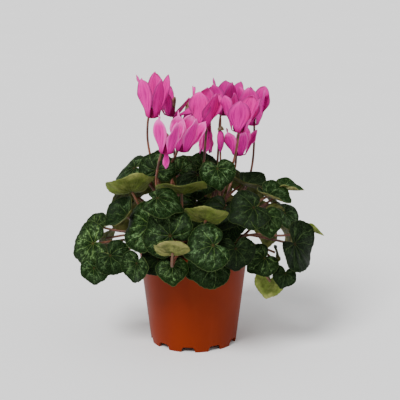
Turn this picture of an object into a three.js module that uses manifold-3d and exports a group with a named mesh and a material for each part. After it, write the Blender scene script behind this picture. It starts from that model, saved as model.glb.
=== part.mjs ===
// A potted cyclamen in flower, in millimetres, +Z up, front at -Y.
// The origin is the centre of the pot's foot, on the surface that the pot stands on.
import * as THREE from "three";
import { mergeVertices } from "three/addons/utils/BufferGeometryUtils.js";
import Module from "manifold-3d";

const wasm = await Module();
wasm.setup();

// Gap kept between pieces that touch, and the smallest detail that joined solids keep.
const SEAT_GAP = 0.3;
const DETAIL = { bloom: 0.35, crown: 0.12 };

// The pot: a thin tapered nursery pot of the 12 cm size.
const POT = {
  height: 108,
  topRadius: 60,
  baseRadius: 47,
  wall: 1.5,
  lipHeight: 8,
  lipWall: 2.6,
  lipStep: 0.5,
  lipSlope: 2,
  rounding: 0.6,
  floorTop: 4.5,
  floorThickness: 1.5,
  footWidth: 3,
  padRadius: 9,
  segments: 24,
};
// Drainage notches through the foot, seen from the front as a dark arch every 36 degrees.
const NOTCH = {
  count: 10,
  firstAngle: -7,
  width: 15,
  topWidth: 10,
  height: 6,
  shoulder: 3.6,
  taper: 1,
  depth: 9,
};

// Soil and the corm that sits half in it.
const SOIL = { top: 92, mound: 2.5, bank: 0.7, crest: 0.6 };
const CORM = { radius: 24, halfHeight: 12, z: 93 };
// The low mound in the middle of the corm, where the stalks stand closest.
const CROWN_MOUND = { radius: 18, halfHeight: 14, z: 103 };

// Leaf blades, their stalks and the flower stalks.
const BLADE = { thickness: 0.8, spokes: 13, innerRing: 0.56, clearance: 2.2, fusing: -1.2 };
const PETIOLE = { radius: 1.4, sides: 3, steps: 4, lies: [35, 60, 15] };
const STALK = { radius: 1.4, sides: 4, steps: 10 };
// The blade's heart shape, as shares of its length: the rim, the point at the tip and the notch at the stalk.
const HEART = { rim: 0.48, tip: 0.1, waist: 0.05, point: 0.1, pointWidth: 0.26, notch: 0.8, notchWidth: 0.4 };
// The blade's relief: how cup works on the rim, the softness of the fold, the tip's droop and the rim's wave.
const RELIEF = { cup: 1.7, fold: 0.04, droop: 0.22, wave: 0.035, waves: 4 };
// Shares of the blade, and spokes, at which the blades are measured against each other.
const SAMPLES = { shares: [0.25, 0.5, 0.75, 1], spokes: 28 };

// A bloom: a short tube, mouth down, and five petals that bend back and up from its rim. The petals' angles
// leave the widest gap at the back, where the stalk passes.
const TUBE = { mouthRadius: 3.4, topRadius: 3.2, height: 9, roof: 1.5, wall: 1.1, lip: 0.8, segments: 5 };
const PETAL = {
  angles: [-90, -18, 48, 132, 198],
  thickness: 0.8,
  bend: 5,
  baseHalf: 2,
  sag: 0.9,
  tip: 0.62,
  width: 0.245,
  youngWidth: 0.16,
};
// Where along it a petal starts to widen, where it is widest, and where its corners lie. The two back ones
// stay narrow for longer, beside the stalk.
const FULLNESS = {
  front: { start: 0.04, crest: 0.6, rows: [0, 0.25, 0.55, 0.85, 1] },
  back: { start: 0.14, crest: 0.62, rows: [0, 0.25, 0.7, 1] },
  backPetals: [2, 3],
};
// Headings of a petal, in degrees from straight down: hanging, and what the full bend back adds at its foot
// and at its tip. Stray is how much the petals differ.
const HEADING = { hanging: 8, foot: 50, tip: 158, frontTip: 151, stray: 8, frontStray: 12 };
const TWIST = { least: 10, reflexed: 14, stray: 8 };
const CALYX = { radius: 3.2, widest: 3.4, shoulder: 1.8, height: 5, segments: 5 };

// How the blades settle. In the first passes each leaf is also drawn back to its row's place. Then come the
// room beside a stalk and over the pot, and how far a pass moves a pair.
const SETTLE = {
  passes: 320,
  pullPasses: 200,
  pull: 0.04,
  reach: 0.75,
  near: 12,
  farthest: 30,
  margin: 1.2,
  fusedMargin: -3,
  fusedStep: 0.4,
  gain: 0.3,
  mostApart: 3,
  mostTogether: -1,
  stalkRoom: 3.2,
  stalkReach: 25,
  slide: 0.12,
  overPot: 2.5,
  potGain: 0.5,
  settled: 0.05,
};
// The first stretch of a stalk, as distances below and behind its blade.
const STUB = [
  [5, 2],
  [10, 6],
  [16, 8],
];
// Room that a stalk keeps from blades, from its own blade along its last stretch, from the pot, the soil and
// the blooms.
const ROOM = {
  blade: 2.5,
  ownStretch: 7,
  ownGap: 0.65,
  ownSlope: 0.25,
  pot: 1.5,
  soil: 0.6,
  bloom: 8,
  flare: 0.32,
};
// The pot's rim and wall as a stalk meets them, and the share of the corm over which stalks may lie low.
const BARRIER = { rimHalf: 1, inside: 4, outside: 2, bed: 0.8 };
// What a stalk's point costs for each millimetre too near, and inside the wall.
const COST = { near: 4, inWall: 8 };
// The bows that a stalk tries: its sweep round and its rise where it leaves the corm, and how far its two
// handles reach.
const BOWS = {
  rootSteps: [0, 4],
  sweeps: [0, 20, -20, 40, -40, 65, -65],
  rises: [62, 40, 82, 25],
  handles: [
    [0.35, 0.22],
    [0.55, 0.38],
    [0.2, 0.38],
    [0.45, 0.12],
  ],
  spacing: 3,
  lowerPoints: 7,
};
// Radii round the corm's middle from which the stalks grow, and how far down they start in it.
const ROOTS = { leaf: 7, leafSpread: 8, flower: 1, flowerSpread: 4, bud: 3, depth: 4 };
// Small seeded changes that bend a crowded stalk clear.
const EASE = { turns: 500, reach: 16, faceOn: 0.35, step: 0.37, shortest: 2 };

const COLOURS = {
  pot: 0xa8492a,
  soil: 0x2f241c,
  crown: 0x6d3a2c,
  leaf: 0x2f5a38,
  bloom: 0xe83f9f,
};

// One row a leaf. at: where the stalk meets the blade. face: yaw of the upper face from the front, to +X, and
// its pitch above level. tip: where the tip points seen by someone whom the upper face looks at, 0 down,
// 90 right. size: length of the blade. cup: rim up (+) or down (-). fold: rise of the sides from the midrib.
// onto: the row, counted from 0, of a blade that this one lies so close on that the two are one piece.
const LEAVES = [
  { at: [-23, -90, 144], face: [-8, 18], tip: -134, size: 51, cup: -0.12, fold: 0.1 },
  { at: [20, -102, 135], face: [4, 36], tip: -74, size: 47, cup: -0.12, fold: 0.12 },
  { at: [61, -80, 168], face: [8, 44], tip: -66, size: 43, cup: -0.1, fold: 0.14 },
  { at: [25, -43, 200], face: [2, 26], tip: 8, size: 35, cup: -0.15, fold: 0.1 },
  { at: [4, -12, 188], face: [0, 62], tip: 4, size: 42, cup: -0.2, fold: 0.05 },
  { at: [-47, -74, 152], face: [-30, 34], tip: -112, size: 60, cup: -0.14, fold: 0.08 },
  { at: [-36, -74, 177], face: [0, 66], tip: 72, size: 43, cup: -0.18, fold: 0.1 },
  { at: [-71, -36, 153], face: [-62, 50], tip: -30, size: 44, cup: 0.2, fold: 0.15 },
  { at: [-62, -26, 172], face: [202, 52], tip: 180, size: 50, cup: 0.16, fold: 0.1 },
  { at: [-64, 2, 192], face: [-42, 54], tip: -62, size: 42, cup: -0.14, fold: 0.1 },
  { at: [-38, -16, 188], face: [-8, 22], tip: 176, size: 38, cup: -0.16, fold: 0.1 },
  { at: [-14, 8, 188], face: [5, 30], tip: 160, size: 32, cup: -0.1, fold: 0.12 },
  { at: [9, 20, 190], face: [0, 34], tip: 178, size: 32, cup: -0.1, fold: 0.1 },
  { at: [56, 0, 174], face: [65, 76], tip: 4, size: 42, cup: 0.14, fold: 0.3 },
  { at: [79, -25, 168], face: [60, 68], tip: 10, size: 40, cup: 0.18, fold: 0.16 },
  { at: [98, 4, 168], face: [82, 84], tip: 5, size: 34, cup: 0.1, fold: 0.3, onto: 14 },
  { at: [89, -8, 148], face: [166, 66], tip: -84, size: 32, cup: 0.1, fold: 0.15 },
  { at: [97, -34, 150], face: [58, 42], tip: 2, size: 36, cup: -0.1, fold: 0.3 },
  { at: [125, -18, 128], face: [130, 60], tip: -50, size: 25, cup: 0.1, fold: 0.2 },
  { at: [104, -46, 120], face: [44, 20], tip: 44, size: 54, cup: -0.05, fold: 0.26 },
  { at: [43, -86, 127], face: [10, 12], tip: 2, size: 38, cup: -0.1, fold: 0.18 },
  { at: [74, -62, 110], face: [6, 24], tip: -52, size: 34, cup: -0.12, fold: 0.14 },
  { at: [81, -45, 80], face: [172, 4], tip: 14, size: 30, cup: -0.1, fold: 0.24 },
  { at: [96, -58, 92], face: [20, 24], tip: -22, size: 25, cup: -0.1, fold: 0.1 },
  { at: [89, -20, 104], face: [94, 6], tip: 6, size: 21, cup: -0.1, fold: 0.35 },
  { at: [20, -86, 112], face: [0, 28], tip: -66, size: 47, cup: -0.14, fold: 0.1 },
  { at: [-35, -78, 113], face: [-14, 20], tip: -38, size: 31, cup: -0.1, fold: 0.12 },
  { at: [-23, -88, 110], face: [2, 38], tip: 4, size: 31, cup: -0.12, fold: 0.1 },
  { at: [-58, -77, 109], face: [-40, 12], tip: -14, size: 35, cup: -0.04, fold: 0.3 },
  { at: [-86, -52, 110], face: [-10, 18], tip: 50, size: 37, cup: -0.1, fold: 0.12 },
  { at: [-106, -36, 113], face: [-30, 28], tip: -62, size: 48, cup: -0.12, fold: 0.2 },
  { at: [-105, -50, 101], face: [-12, 10], tip: -4, size: 30, cup: -0.12, fold: 0.1 },
  { at: [-107, 10, 126], face: [-30, 34], tip: -110, size: 30, cup: -0.1, fold: 0.1 },
  { at: [13, -72, 151], face: [172, 48], tip: 186, size: 42, cup: 0.1, fold: 0.12 },
  { at: [-20, -106, 129], face: [168, 44], tip: 158, size: 35, cup: 0.08, fold: 0.08 },
  { at: [32, -62, 166], face: [-4, 42], tip: -20, size: 41, cup: -0.12, fold: 0.14 },
  { at: [32, -34, 150], face: [12, 40], tip: 10, size: 50, cup: -0.12, fold: 0.12 },
  { at: [-12, -42, 172], face: [184, 62], tip: 176, size: 50, cup: 0.1, fold: 0.05 },
  { at: [96, 34, 150], face: [106, 40], tip: 10, size: 46, cup: -0.14, fold: 0.12 },
  { at: [102, 34, 118], face: [108, 18], tip: -16, size: 42, cup: -0.12, fold: 0.12, onto: 38 },
  { at: [61, 65, 168], face: [138, 46], tip: -12, size: 50, cup: -0.14, fold: 0.12 },
  { at: [72, 76, 132], face: [140, 22], tip: 14, size: 48, cup: -0.12, fold: 0.12, onto: 40 },
  { at: [78, 62, 106], face: [130, 14], tip: -10, size: 38, cup: -0.12, fold: 0.12, onto: 41 },
  { at: [18, 80, 164], face: [172, 40], tip: 8, size: 52, cup: -0.14, fold: 0.1 },
  { at: [26, 94, 130], face: [168, 20], tip: -18, size: 48, cup: -0.12, fold: 0.12, onto: 43 },
  { at: [18, 90, 106], face: [174, 12], tip: 14, size: 38, cup: -0.12, fold: 0.12, onto: 44 },
  { at: [-30, 74, 168], face: [204, 44], tip: -8, size: 50, cup: -0.14, fold: 0.12 },
  { at: [-26, 92, 132], face: [196, 22], tip: 20, size: 48, cup: -0.12, fold: 0.12, onto: 46 },
  { at: [-34, 84, 106], face: [206, 14], tip: 0, size: 38, cup: -0.12, fold: 0.12, onto: 47 },
  { at: [-76, 48, 160], face: [236, 42], tip: 6, size: 50, cup: -0.14, fold: 0.12 },
  { at: [-74, 66, 126], face: [226, 22], tip: -16, size: 46, cup: -0.12, fold: 0.12, onto: 49 },
  { at: [-98, 24, 108], face: [250, 18], tip: 4, size: 40, cup: -0.12, fold: 0.14 },
  { at: [3, 49, 192], face: [174, 56], tip: 6, size: 46, cup: -0.16, fold: 0.1 },
  { at: [44, 46, 186], face: [130, 56], tip: -10, size: 42, cup: -0.16, fold: 0.1, onto: 52 },
  { at: [-51, 31, 173], face: [222, 50], tip: 10, size: 48, cup: -0.16, fold: 0.1 },
  { at: [2, -26, 158], face: [-6, 44], tip: -8, size: 44, cup: -0.12, fold: 0.12, onto: 36 },
  { at: [74, -84, 160], face: [24, 36], tip: 6, size: 33, cup: -0.1, fold: 0.14, onto: 2 },
];

// One row a bloom. at: middle of its mouth. lean: how far the petal tips lie off it, to +X and +Y.
// spin: turn of the petals, with the stalk's gap at the back when 0. reflex: 1 swept back, 0 hanging.
// stray: a petal that has its own reflex, and its share of the others' length.
const BLOOMS = [
  { at: [-43, -6, 249], lean: [0, -1], spin: 32, length: 47, width: 0.18, reflex: 1 },
  {
    at: [-25, 28, 245], lean: [6, 0], spin: -25, length: 35, width: 0.2, reflex: 0.88,
    stray: { petal: 2, reflex: 0.66, share: 0.95 },
  },
  { at: [-8, 50, 237], lean: [3, 2], spin: 20, length: 21, reflex: 0.7 },
  {
    at: [-28, -51, 219], lean: [5, 0], spin: 30, length: 38, width: 0.2, reflex: 1,
    stray: { petal: 2, reflex: 0.02, share: 0.44 },
  },
  { at: [-12, -24, 216], lean: [8, 0], spin: 30, length: 41, width: 0.25, reflex: 1 },
  { at: [9, 2, 238], lean: [8, 0], spin: -36, length: 41, width: 0.3, reflex: 1 },
  { at: [34, 40, 244], lean: [-1, 2], spin: 30, length: 41, width: 0.28, reflex: 1 },
  { at: [47, -20, 236], lean: [5, -2], spin: -8, length: 42, width: 0.29, reflex: 1 },
  { at: [63, 16, 237], lean: [3, 2], spin: -20, length: 43, width: 0.27, reflex: 1 },
  { at: [15, 25, 232], lean: [2, 0], spin: 0, length: 27, width: 0.2, reflex: -0.02 },
  { at: [49, 11, 205], lean: [0, 0], spin: 16, length: 31, width: 0.26, reflex: 0.97 },
];
// The bud: its form runs as powers of a sine from tip to foot, with ribs that wind round it.
const BUD = {
  at: [29, 6, 232],
  length: 24,
  radius: 3.6,
  tipRadius: 0.3,
  fullAt: 0.7,
  roundness: 0.8,
  ribs: 4,
  ribDepth: 0.12,
  twist: 120,
  segments: 8,
  rings: 6,
  stalk: 0.8,
};

const UP = new THREE.Vector3(0, 0, 1);
const radians = THREE.MathUtils.degToRad;

// A repeatable number from 0 to 1 for two counters, for small differences between like pieces.
function chance(a, b) {
  const wave = Math.sin(a * 127.1 + b * 311.7 + 11.3) * 43758.5453;
  return wave - Math.floor(wave);
}

function solidOf(geometry) {
  const bare = geometry.clone();
  bare.deleteAttribute("normal");
  bare.deleteAttribute("uv");
  const merged = mergeVertices(bare, 1e-4);
  return new wasm.Manifold(
    new wasm.Mesh({
      numProp: 3,
      vertProperties: merged.attributes.position.array,
      triVerts: new Uint32Array(merged.index.array),
    }),
  );
}

function geometryOf(solid) {
  const mesh = solid.getMesh();
  return new THREE.BufferGeometry()
    .setAttribute("position", new THREE.BufferAttribute(mesh.vertProperties, 3))
    .setIndex(new THREE.BufferAttribute(mesh.triVerts, 1));
}

// The largest connected shell of a solid, without its loose bits and sealed hollows.
function largest(solid) {
  return solid.decompose().sort((a, b) => b.volume() - a.volume())[0];
}

// A profile of [radius, height] pairs, from the axis round to the axis, turned about +Z.
function turned(profile, segments) {
  const points = profile.map(([radius, height]) => new THREE.Vector2(radius, height));
  return new THREE.LatheGeometry(points, segments).rotateX(Math.PI / 2);
}

function tube(curve, radius, sides, steps) {
  const ring = new THREE.Shape(
    Array.from({ length: sides }, (_, i) => {
      const angle = (i / sides) * 2 * Math.PI;
      return new THREE.Vector2(radius * Math.cos(angle), radius * Math.sin(angle));
    }),
  );
  return new THREE.ExtrudeGeometry(ring, { steps, bevelEnabled: false, extrudePath: curve });
}

// A closed sheet from a grid of middle points: faces alike on both sides, thickness along the grid's normals.
// rings[i][j] are the points, closed says whether the columns run round, and the first ring may be one point.
function sheet(rings, thickness, closed) {
  const columns = Math.max(...rings.map((ring) => ring.length));
  const points = [];
  const index = rings.map((ring) => ring.map((point) => points.push(point) - 1));
  const at = (i, j) => (index[i].length === 1 ? index[i][0] : index[i][j % index[i].length]);
  const faces = [];
  for (let i = 0; i + 1 < rings.length; i++)
    for (let j = 0; j < (closed ? columns : columns - 1); j++) {
      const [a, b, c, d] = [at(i, j), at(i + 1, j), at(i + 1, j + 1), at(i, j + 1)];
      if (b !== c) faces.push([a, b, c]);
      if (a !== d) faces.push([a, c, d]);
    }
  const normals = points.map(() => new THREE.Vector3());
  for (const [a, b, c] of faces) {
    const normal = points[b].clone().sub(points[a]).cross(points[c].clone().sub(points[a]));
    for (const corner of [a, b, c]) normals[corner].add(normal);
  }
  const half = points.map((point, k) => normals[k].normalize().multiplyScalar(thickness / 2));
  const upper = points.map((point, k) => point.clone().add(half[k]));
  const lower = points.map((point, k) => point.clone().sub(half[k]));
  const count = points.length;
  const triangles = faces.flatMap(([a, b, c]) => [a, b, c, c + count, b + count, a + count]);
  const edges = new Map();
  for (const face of faces)
    face.forEach((from, k) => {
      const to = face[(k + 1) % 3];
      if (edges.has(to + "," + from)) edges.delete(to + "," + from);
      else edges.set(from + "," + to, [from, to]);
    });
  for (const [from, to] of edges.values())
    triangles.push(to, from, from + count, to, from + count, to + count);
  return new THREE.BufferGeometry()
    .setFromPoints([...upper, ...lower])
    .setIndex(triangles);
}

// The leaf blade has the stalk at its own frame's origin, its tip along +X and its upper face along +Z.
// Distance from the stalk to the rim, for an angle from the tip: a heart with a notch behind the stalk.
function rimRadius(leaf, angle) {
  const back = Math.PI - Math.abs(angle);
  const heart = HEART.rim + HEART.tip * Math.cos(angle) - HEART.waist * Math.cos(2 * angle);
  const point = HEART.point * Math.exp(-((angle / HEART.pointWidth) ** 2));
  const notch = 1 - HEART.notch * Math.exp(-((back / HEART.notchWidth) ** 2));
  return leaf.size * (heart + point) * notch;
}

// Height of the blade's middle surface where a spoke at this angle is covered for a share of its length.
function bladeHeight(leaf, share, angle) {
  const radius = share * rimRadius(leaf, angle);
  const along = (radius * Math.cos(angle)) / leaf.size;
  const across = (radius * Math.sin(angle)) / leaf.size;
  const cup = RELIEF.cup * leaf.cup * (radius / leaf.size) * share;
  const fold = leaf.fold * (Math.hypot(across, RELIEF.fold) - RELIEF.fold);
  const droop = RELIEF.droop * Math.max(0, along) ** 2;
  const wave = RELIEF.wave * share ** 3 * Math.sin(RELIEF.waves * angle + leaf.phase);
  return leaf.size * (cup + fold - droop + wave);
}

function bladePoint(leaf, share, angle) {
  const radius = share * rimRadius(leaf, angle);
  const height = bladeHeight(leaf, share, angle);
  return new THREE.Vector3(radius * Math.cos(angle), radius * Math.sin(angle), height);
}

// The blade's frame in the plant: columns tip, side and upper face.
function leafFrame({ face: [yaw, pitch], tip }) {
  const outward = new THREE.Vector3(Math.sin(radians(yaw)), -Math.cos(radians(yaw)), 0);
  const right = new THREE.Vector3(Math.cos(radians(yaw)), Math.sin(radians(yaw)), 0);
  const normal = outward.clone().multiplyScalar(Math.cos(radians(pitch)));
  normal.addScaledVector(UP, Math.sin(radians(pitch)));
  const down = outward.clone().multiplyScalar(Math.sin(radians(pitch)));
  down.addScaledVector(UP, -Math.cos(radians(pitch)));
  const along = down.multiplyScalar(Math.cos(radians(tip)));
  along.addScaledVector(right, Math.sin(radians(tip)));
  return new THREE.Matrix4().makeBasis(along, normal.clone().cross(along), normal);
}

// Spoke angles, closer together at the notch than at the sides.
function spokeAngles(count) {
  return Array.from({ length: count }, (_, i) => {
    const even = ((i + 0.5) / count) * 2 - 1;
    return Math.PI * (even + 0.16 * Math.sin(Math.PI * even));
  });
}

const leaves = LEAVES.map((row, index) => {
  const leaf = { ...row, index, phase: 2 * Math.PI * chance(index, 1) };
  leaf.place = new THREE.Vector3(...row.at);
  leaf.home = leaf.place.clone();
  leaf.turn = leafFrame(row);
  leaf.back = leaf.turn.clone().invert();
  leaf.normal = new THREE.Vector3().setFromMatrixColumn(leaf.turn, 2);
  leaf.along = new THREE.Vector3().setFromMatrixColumn(leaf.turn, 0);
  leaf.samples = SAMPLES.shares.flatMap((share) =>
    spokeAngles(SAMPLES.spokes).map((angle) => bladePoint(leaf, share, angle).applyMatrix4(leaf.turn)),
  );
  leaf.samples.push(new THREE.Vector3());
  return leaf;
});

const groupOf = (leaf) => (leaf.onto === undefined ? leaf : groupOf(leaves[leaf.onto]));

// Signed height of a point over a leaf's surface, or null where the blade doesn't reach.
function heightOver(leaf, point, margin) {
  const local = point.clone().sub(leaf.place).applyMatrix4(leaf.back);
  const radius = Math.hypot(local.x, local.y);
  const angle = Math.atan2(local.y, local.x);
  const rim = rimRadius(leaf, angle);
  if (radius > rim + margin) return null;
  return local.z - bladeHeight(leaf, Math.min(1, radius / Math.max(rim, 0.1)), angle);
}

// Slides two leaves apart where the stalk of one would have to pierce the other's blade, and returns how far.
function freeStalk(leaf, blade) {
  const start = heightOver(blade, leaf.place, SETTLE.stalkRoom);
  if (start === null || Math.abs(start) > SETTLE.stalkReach) return 0;
  const crossed = STUB.some(([below, behind]) => {
    const stub = leaf.place.clone().addScaledVector(leaf.normal, -below).addScaledVector(leaf.along, -behind);
    return start * stub.sub(blade.place).dot(blade.normal) < 0;
  });
  if (!crossed) return 0;
  const local = leaf.place.clone().sub(blade.place).applyMatrix4(blade.back).setZ(0);
  const depth = rimRadius(blade, Math.atan2(local.y, local.x)) + SETTLE.stalkRoom - local.length();
  const slide = local.setLength(depth * SETTLE.slide).applyMatrix4(blade.turn);
  leaf.place.add(slide);
  blade.place.sub(slide);
  return depth;
}

// Moves blades apart, along their own faces' directions, until each keeps the clearance from its neighbours,
// the pot's rim and wall, and the soil. Each pair stays on the sides on which it starts.
function settleLeaves() {
  const reach = (a, b) => (a.size + b.size) * SETTLE.reach;
  const pairs = [];
  for (const over of leaves)
    for (const under of leaves)
      if (over !== under && over.place.distanceTo(under.place) < reach(over, under) + SETTLE.near)
        pairs.push({ over, under, side: 0, fused: over.onto === under.index });
  const point = new THREE.Vector3();
  for (const pair of pairs)
    for (const sample of pair.over.samples) {
      const height = heightOver(pair.under, point.copy(sample).add(pair.over.place), 1);
      if (height !== null) pair.side += Math.sign(height);
    }
  const push = new THREE.Vector3();
  for (let pass = 0; pass < SETTLE.passes; pass++) {
    let worst = 0;
    for (const { over, under, side, fused } of pairs) {
      if ((!side && !fused) || over.index === under.onto) continue;
      const sign = Math.sign(side);
      const wanted = fused ? BLADE.fusing : BLADE.clearance;
      let depth = null;
      for (const sample of over.samples) {
        const margin = fused ? SETTLE.fusedMargin : SETTLE.margin;
        const height = heightOver(under, point.copy(sample).add(over.place), margin);
        if (height === null || Math.abs(height) >= SETTLE.farthest) continue;
        depth = Math.max(depth ?? -SETTLE.farthest, wanted - sign * height);
      }
      if (fused && depth === null) {
        push.copy(under.place).sub(over.place).setLength(SETTLE.fusedStep);
        over.place.add(push);
        worst = 1;
        continue;
      }
      if (depth === null || (depth <= 0.01 && !fused)) continue;
      worst = Math.max(worst, Math.abs(depth));
      const move = THREE.MathUtils.clamp(depth * SETTLE.gain, SETTLE.mostTogether, SETTLE.mostApart);
      push.copy(under.normal).multiplyScalar(sign * move);
      over.place.add(push);
      under.place.sub(push);
    }
    for (const { over, under } of pairs) worst = Math.max(worst, freeStalk(over, under));
    if (pass < SETTLE.pullPasses)
      for (const leaf of leaves) leaf.place.lerp(leaf.home, SETTLE.pull);
    for (const leaf of leaves) worst = Math.max(worst, clearOfPot(leaf));
    if (worst < SETTLE.settled && pass > SETTLE.pullPasses) break;
  }
}

// Outer radius of the pot at a height.
function potRadius(z) {
  return THREE.MathUtils.lerp(POT.baseRadius, POT.topRadius, z / POT.height);
}

// Shifts a leaf that touches the pot or the soil, and returns how far.
function clearOfPot(leaf) {
  const keep = SETTLE.overPot;
  const point = new THREE.Vector3();
  let outward = 0;
  let raise = 0;
  for (const sample of leaf.samples) {
    point.copy(sample).add(leaf.place);
    const radius = Math.hypot(point.x, point.y);
    const wall = potRadius(POT.height) + keep;
    if (point.z < POT.height + keep && radius < wall) {
      const up = POT.height + keep - point.z;
      const out = wall - radius;
      if (up < out) raise = Math.max(raise, up);
      else outward = Math.max(outward, out);
    }
  }
  const away = new THREE.Vector3(leaf.place.x, leaf.place.y, 0).normalize();
  leaf.place.addScaledVector(away, outward * SETTLE.potGain);
  leaf.place.z += raise * SETTLE.potGain;
  return Math.max(outward, raise);
}

settleLeaves();

// Blooms, in the plant's frame.
const blooms = BLOOMS.map((row, index) => {
  const bloom = { ...row, index, place: new THREE.Vector3(...row.at) };
  const axis = new THREE.Vector3(row.lean[0], row.lean[1], row.length).normalize();
  const tilt = new THREE.Quaternion().setFromUnitVectors(UP, axis);
  const spin = new THREE.Quaternion().setFromAxisAngle(UP, radians(row.spin));
  bloom.frame = new THREE.Matrix4().compose(bloom.place, tilt.multiply(spin), new THREE.Vector3(1, 1, 1));
  bloom.unframe = bloom.frame.clone().invert();
  return bloom;
});

// A petal's middle points in the bloom's frame: out from the tube's rim, round, and up.
function petalRings(bloom, number) {
  const angle = radians(PETAL.angles[number]);
  const outward = new THREE.Vector3(Math.cos(angle), Math.sin(angle), 0);
  const side = new THREE.Vector3(-Math.sin(angle), Math.cos(angle), 0);
  const back = FULLNESS.backPetals.includes(number);
  const form = back ? FULLNESS.back : FULLNESS.front;
  const { reflex, share: ownShare } = bloom.stray?.petal === number ? bloom.stray : { ...bloom, share: 1 };
  const length = bloom.length * ownShare * (0.94 + 0.12 * chance(bloom.index, number));
  const lift = back
    ? HEADING.tip + HEADING.stray * chance(bloom.index, number + 7)
    : HEADING.frontTip + HEADING.frontStray * chance(bloom.index, number + 7);
  const finalHeading = radians(HEADING.hanging + reflex * lift);
  const firstHeading = radians(HEADING.hanging + reflex * HEADING.foot);
  const ownTwist = back ? TWIST.stray / 2 : TWIST.stray * chance(bloom.index, number + 11);
  const twist = radians(TWIST.least + TWIST.reflexed * reflex + ownTwist);
  const widest = bloom.width || (bloom.reflex > 0.5 ? PETAL.width : PETAL.youngWidth);
  const halfWidth = bloom.length * ownShare * widest;
  const fine = 60;
  const centre = outward.clone().multiplyScalar(TUBE.mouthRadius);
  const rings = [];
  for (let step = 0; step <= fine; step++) {
    const share = step / fine;
    const bent = Math.min(1, (share * length) / PETAL.bend);
    const heading = THREE.MathUtils.lerp(firstHeading, finalHeading, bent);
    const along = outward.clone().multiplyScalar(Math.sin(heading));
    along.addScaledVector(UP, -Math.cos(heading));
    if (form.rows.some((row) => Math.round(row * fine) === step)) {
      const turn = twist * THREE.MathUtils.smoothstep(share, 0.1, 1);
      const across = side.clone().applyAxisAngle(along, turn);
      const normal = across.clone().cross(along);
      const half = petalHalfWidth(share, halfWidth, form);
      rings.push(
        [-1, 0, 1].map((v) => {
          const point = centre.clone().addScaledVector(across, v * half);
          return point.addScaledVector(normal, -PETAL.sag * v * v * Math.min(1, share * 3));
        }),
      );
    }
    centre.addScaledVector(along, length / fine);
  }
  rings[rings.length - 1] = [rings[rings.length - 1][1]];
  return rings.reverse();
}

// Half the width of a petal: narrow at its foot, full from there to its crest, and drawn to a blunt tip.
function petalHalfWidth(share, widest, { start, crest }) {
  const full = THREE.MathUtils.smoothstep(share, start, crest);
  if (share < crest) return THREE.MathUtils.lerp(PETAL.baseHalf, widest, full);
  return widest * Math.max(0, 1 - ((share - crest) / (1 - crest)) ** 2) ** PETAL.tip;
}

// The tube under the petals' rim, closed at its top, where the calyx sits.
function tubeGeometry() {
  const { mouthRadius, topRadius, height, roof, wall, lip, segments } = TUBE;
  return turned(
    [
      [0, height - roof],
      [topRadius - wall, height - roof - 0.5],
      [mouthRadius - wall, -lip],
      [mouthRadius + lip, -lip],
      [topRadius, height],
      [0, height],
    ],
    segments,
  );
}

function bloomGeometry(bloom) {
  let solid = solidOf(tubeGeometry());
  for (let number = 0; number < PETAL.angles.length; number++)
    solid = solid.add(solidOf(sheet(petalRings(bloom, number), PETAL.thickness, false)));
  return geometryOf(solid.simplify(DETAIL.bloom)).applyMatrix4(bloom.frame);
}

// The closed bud hangs from its calyx, petals wound round each other to a point.
function budGeometry() {
  const profile = [[0, 0]];
  for (let ring = 1; ring < BUD.rings; ring++) {
    const share = ring / BUD.rings;
    const full = Math.sin(Math.PI * share ** BUD.fullAt) ** BUD.roundness;
    profile.push([BUD.radius * full + BUD.tipRadius, -BUD.length * share]);
  }
  profile.push([0, -BUD.length]);
  const geometry = turned(profile.reverse(), BUD.segments);
  const spot = geometry.attributes.position;
  const point = new THREE.Vector3();
  for (let k = 0; k < spot.count; k++) {
    point.fromBufferAttribute(spot, k);
    const ribs = 1 + BUD.ribDepth * Math.cos(BUD.ribs * Math.atan2(point.y, point.x));
    point.set(point.x * ribs, point.y * ribs, point.z);
    point.applyAxisAngle(UP, radians(BUD.twist * (-point.z / BUD.length)));
    spot.setXYZ(k, point.x, point.y, point.z);
  }
  return geometry.translate(...BUD.at);
}

// How far a stalk along these points comes inside the clearance of blades, blooms, the pot and the soil.
function crowding(points, radius, own, carries) {
  let total = 0;
  const keep = ROOM.blade + radius - BLADE.thickness;
  const last = points[points.length - 1];
  for (const point of points) {
    const reach = Math.hypot(point.x, point.y);
    const beside = Math.max(0, Math.abs(reach - POT.topRadius + BARRIER.rimHalf) - BARRIER.rimHalf);
    const fromRim = Math.hypot(beside, Math.max(0, point.z - POT.height));
    total += COST.near * Math.max(0, radius + ROOM.pot - fromRim);
    const inside = reach > POT.topRadius - BARRIER.inside && reach < POT.topRadius + BARRIER.outside + radius;
    if (inside && point.z < POT.height) total += COST.inWall;
    const intoSoil = SOIL.top + SOIL.mound + radius + ROOM.soil - point.z;
    const overSoil = reach > CORM.radius * BARRIER.bed && reach < POT.topRadius;
    if (overSoil) total += COST.near * Math.max(0, intoSoil);
    for (const leaf of leaves) {
      if (leaf.place.distanceTo(point) > leaf.size) continue;
      const height = heightOver(leaf, point, ROOM.blade);
      if (height === null) continue;
      const fromEnd = last.distanceTo(point);
      if (leaf !== own || fromEnd > ROOM.ownStretch) total += Math.max(0, keep - Math.abs(height));
      else total += Math.max(0, height + ROOM.ownGap + ROOM.ownSlope * fromEnd);
    }
    for (const bloom of blooms) {
      if (bloom === carries) continue;
      const local = point.clone().applyMatrix4(bloom.unframe);
      const open = bloom.reflex > 0.5;
      const within = open ? local.z > -4 && local.z < bloom.length + 2 : Math.abs(local.z) < bloom.length + 2;
      const wide = ROOM.bloom + (open ? ROOM.flare * Math.max(0, local.z) : 0);
      if (within) total += Math.max(0, wide + radius + 1 - Math.hypot(local.x, local.y));
    }
  }
  return total;
}

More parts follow.
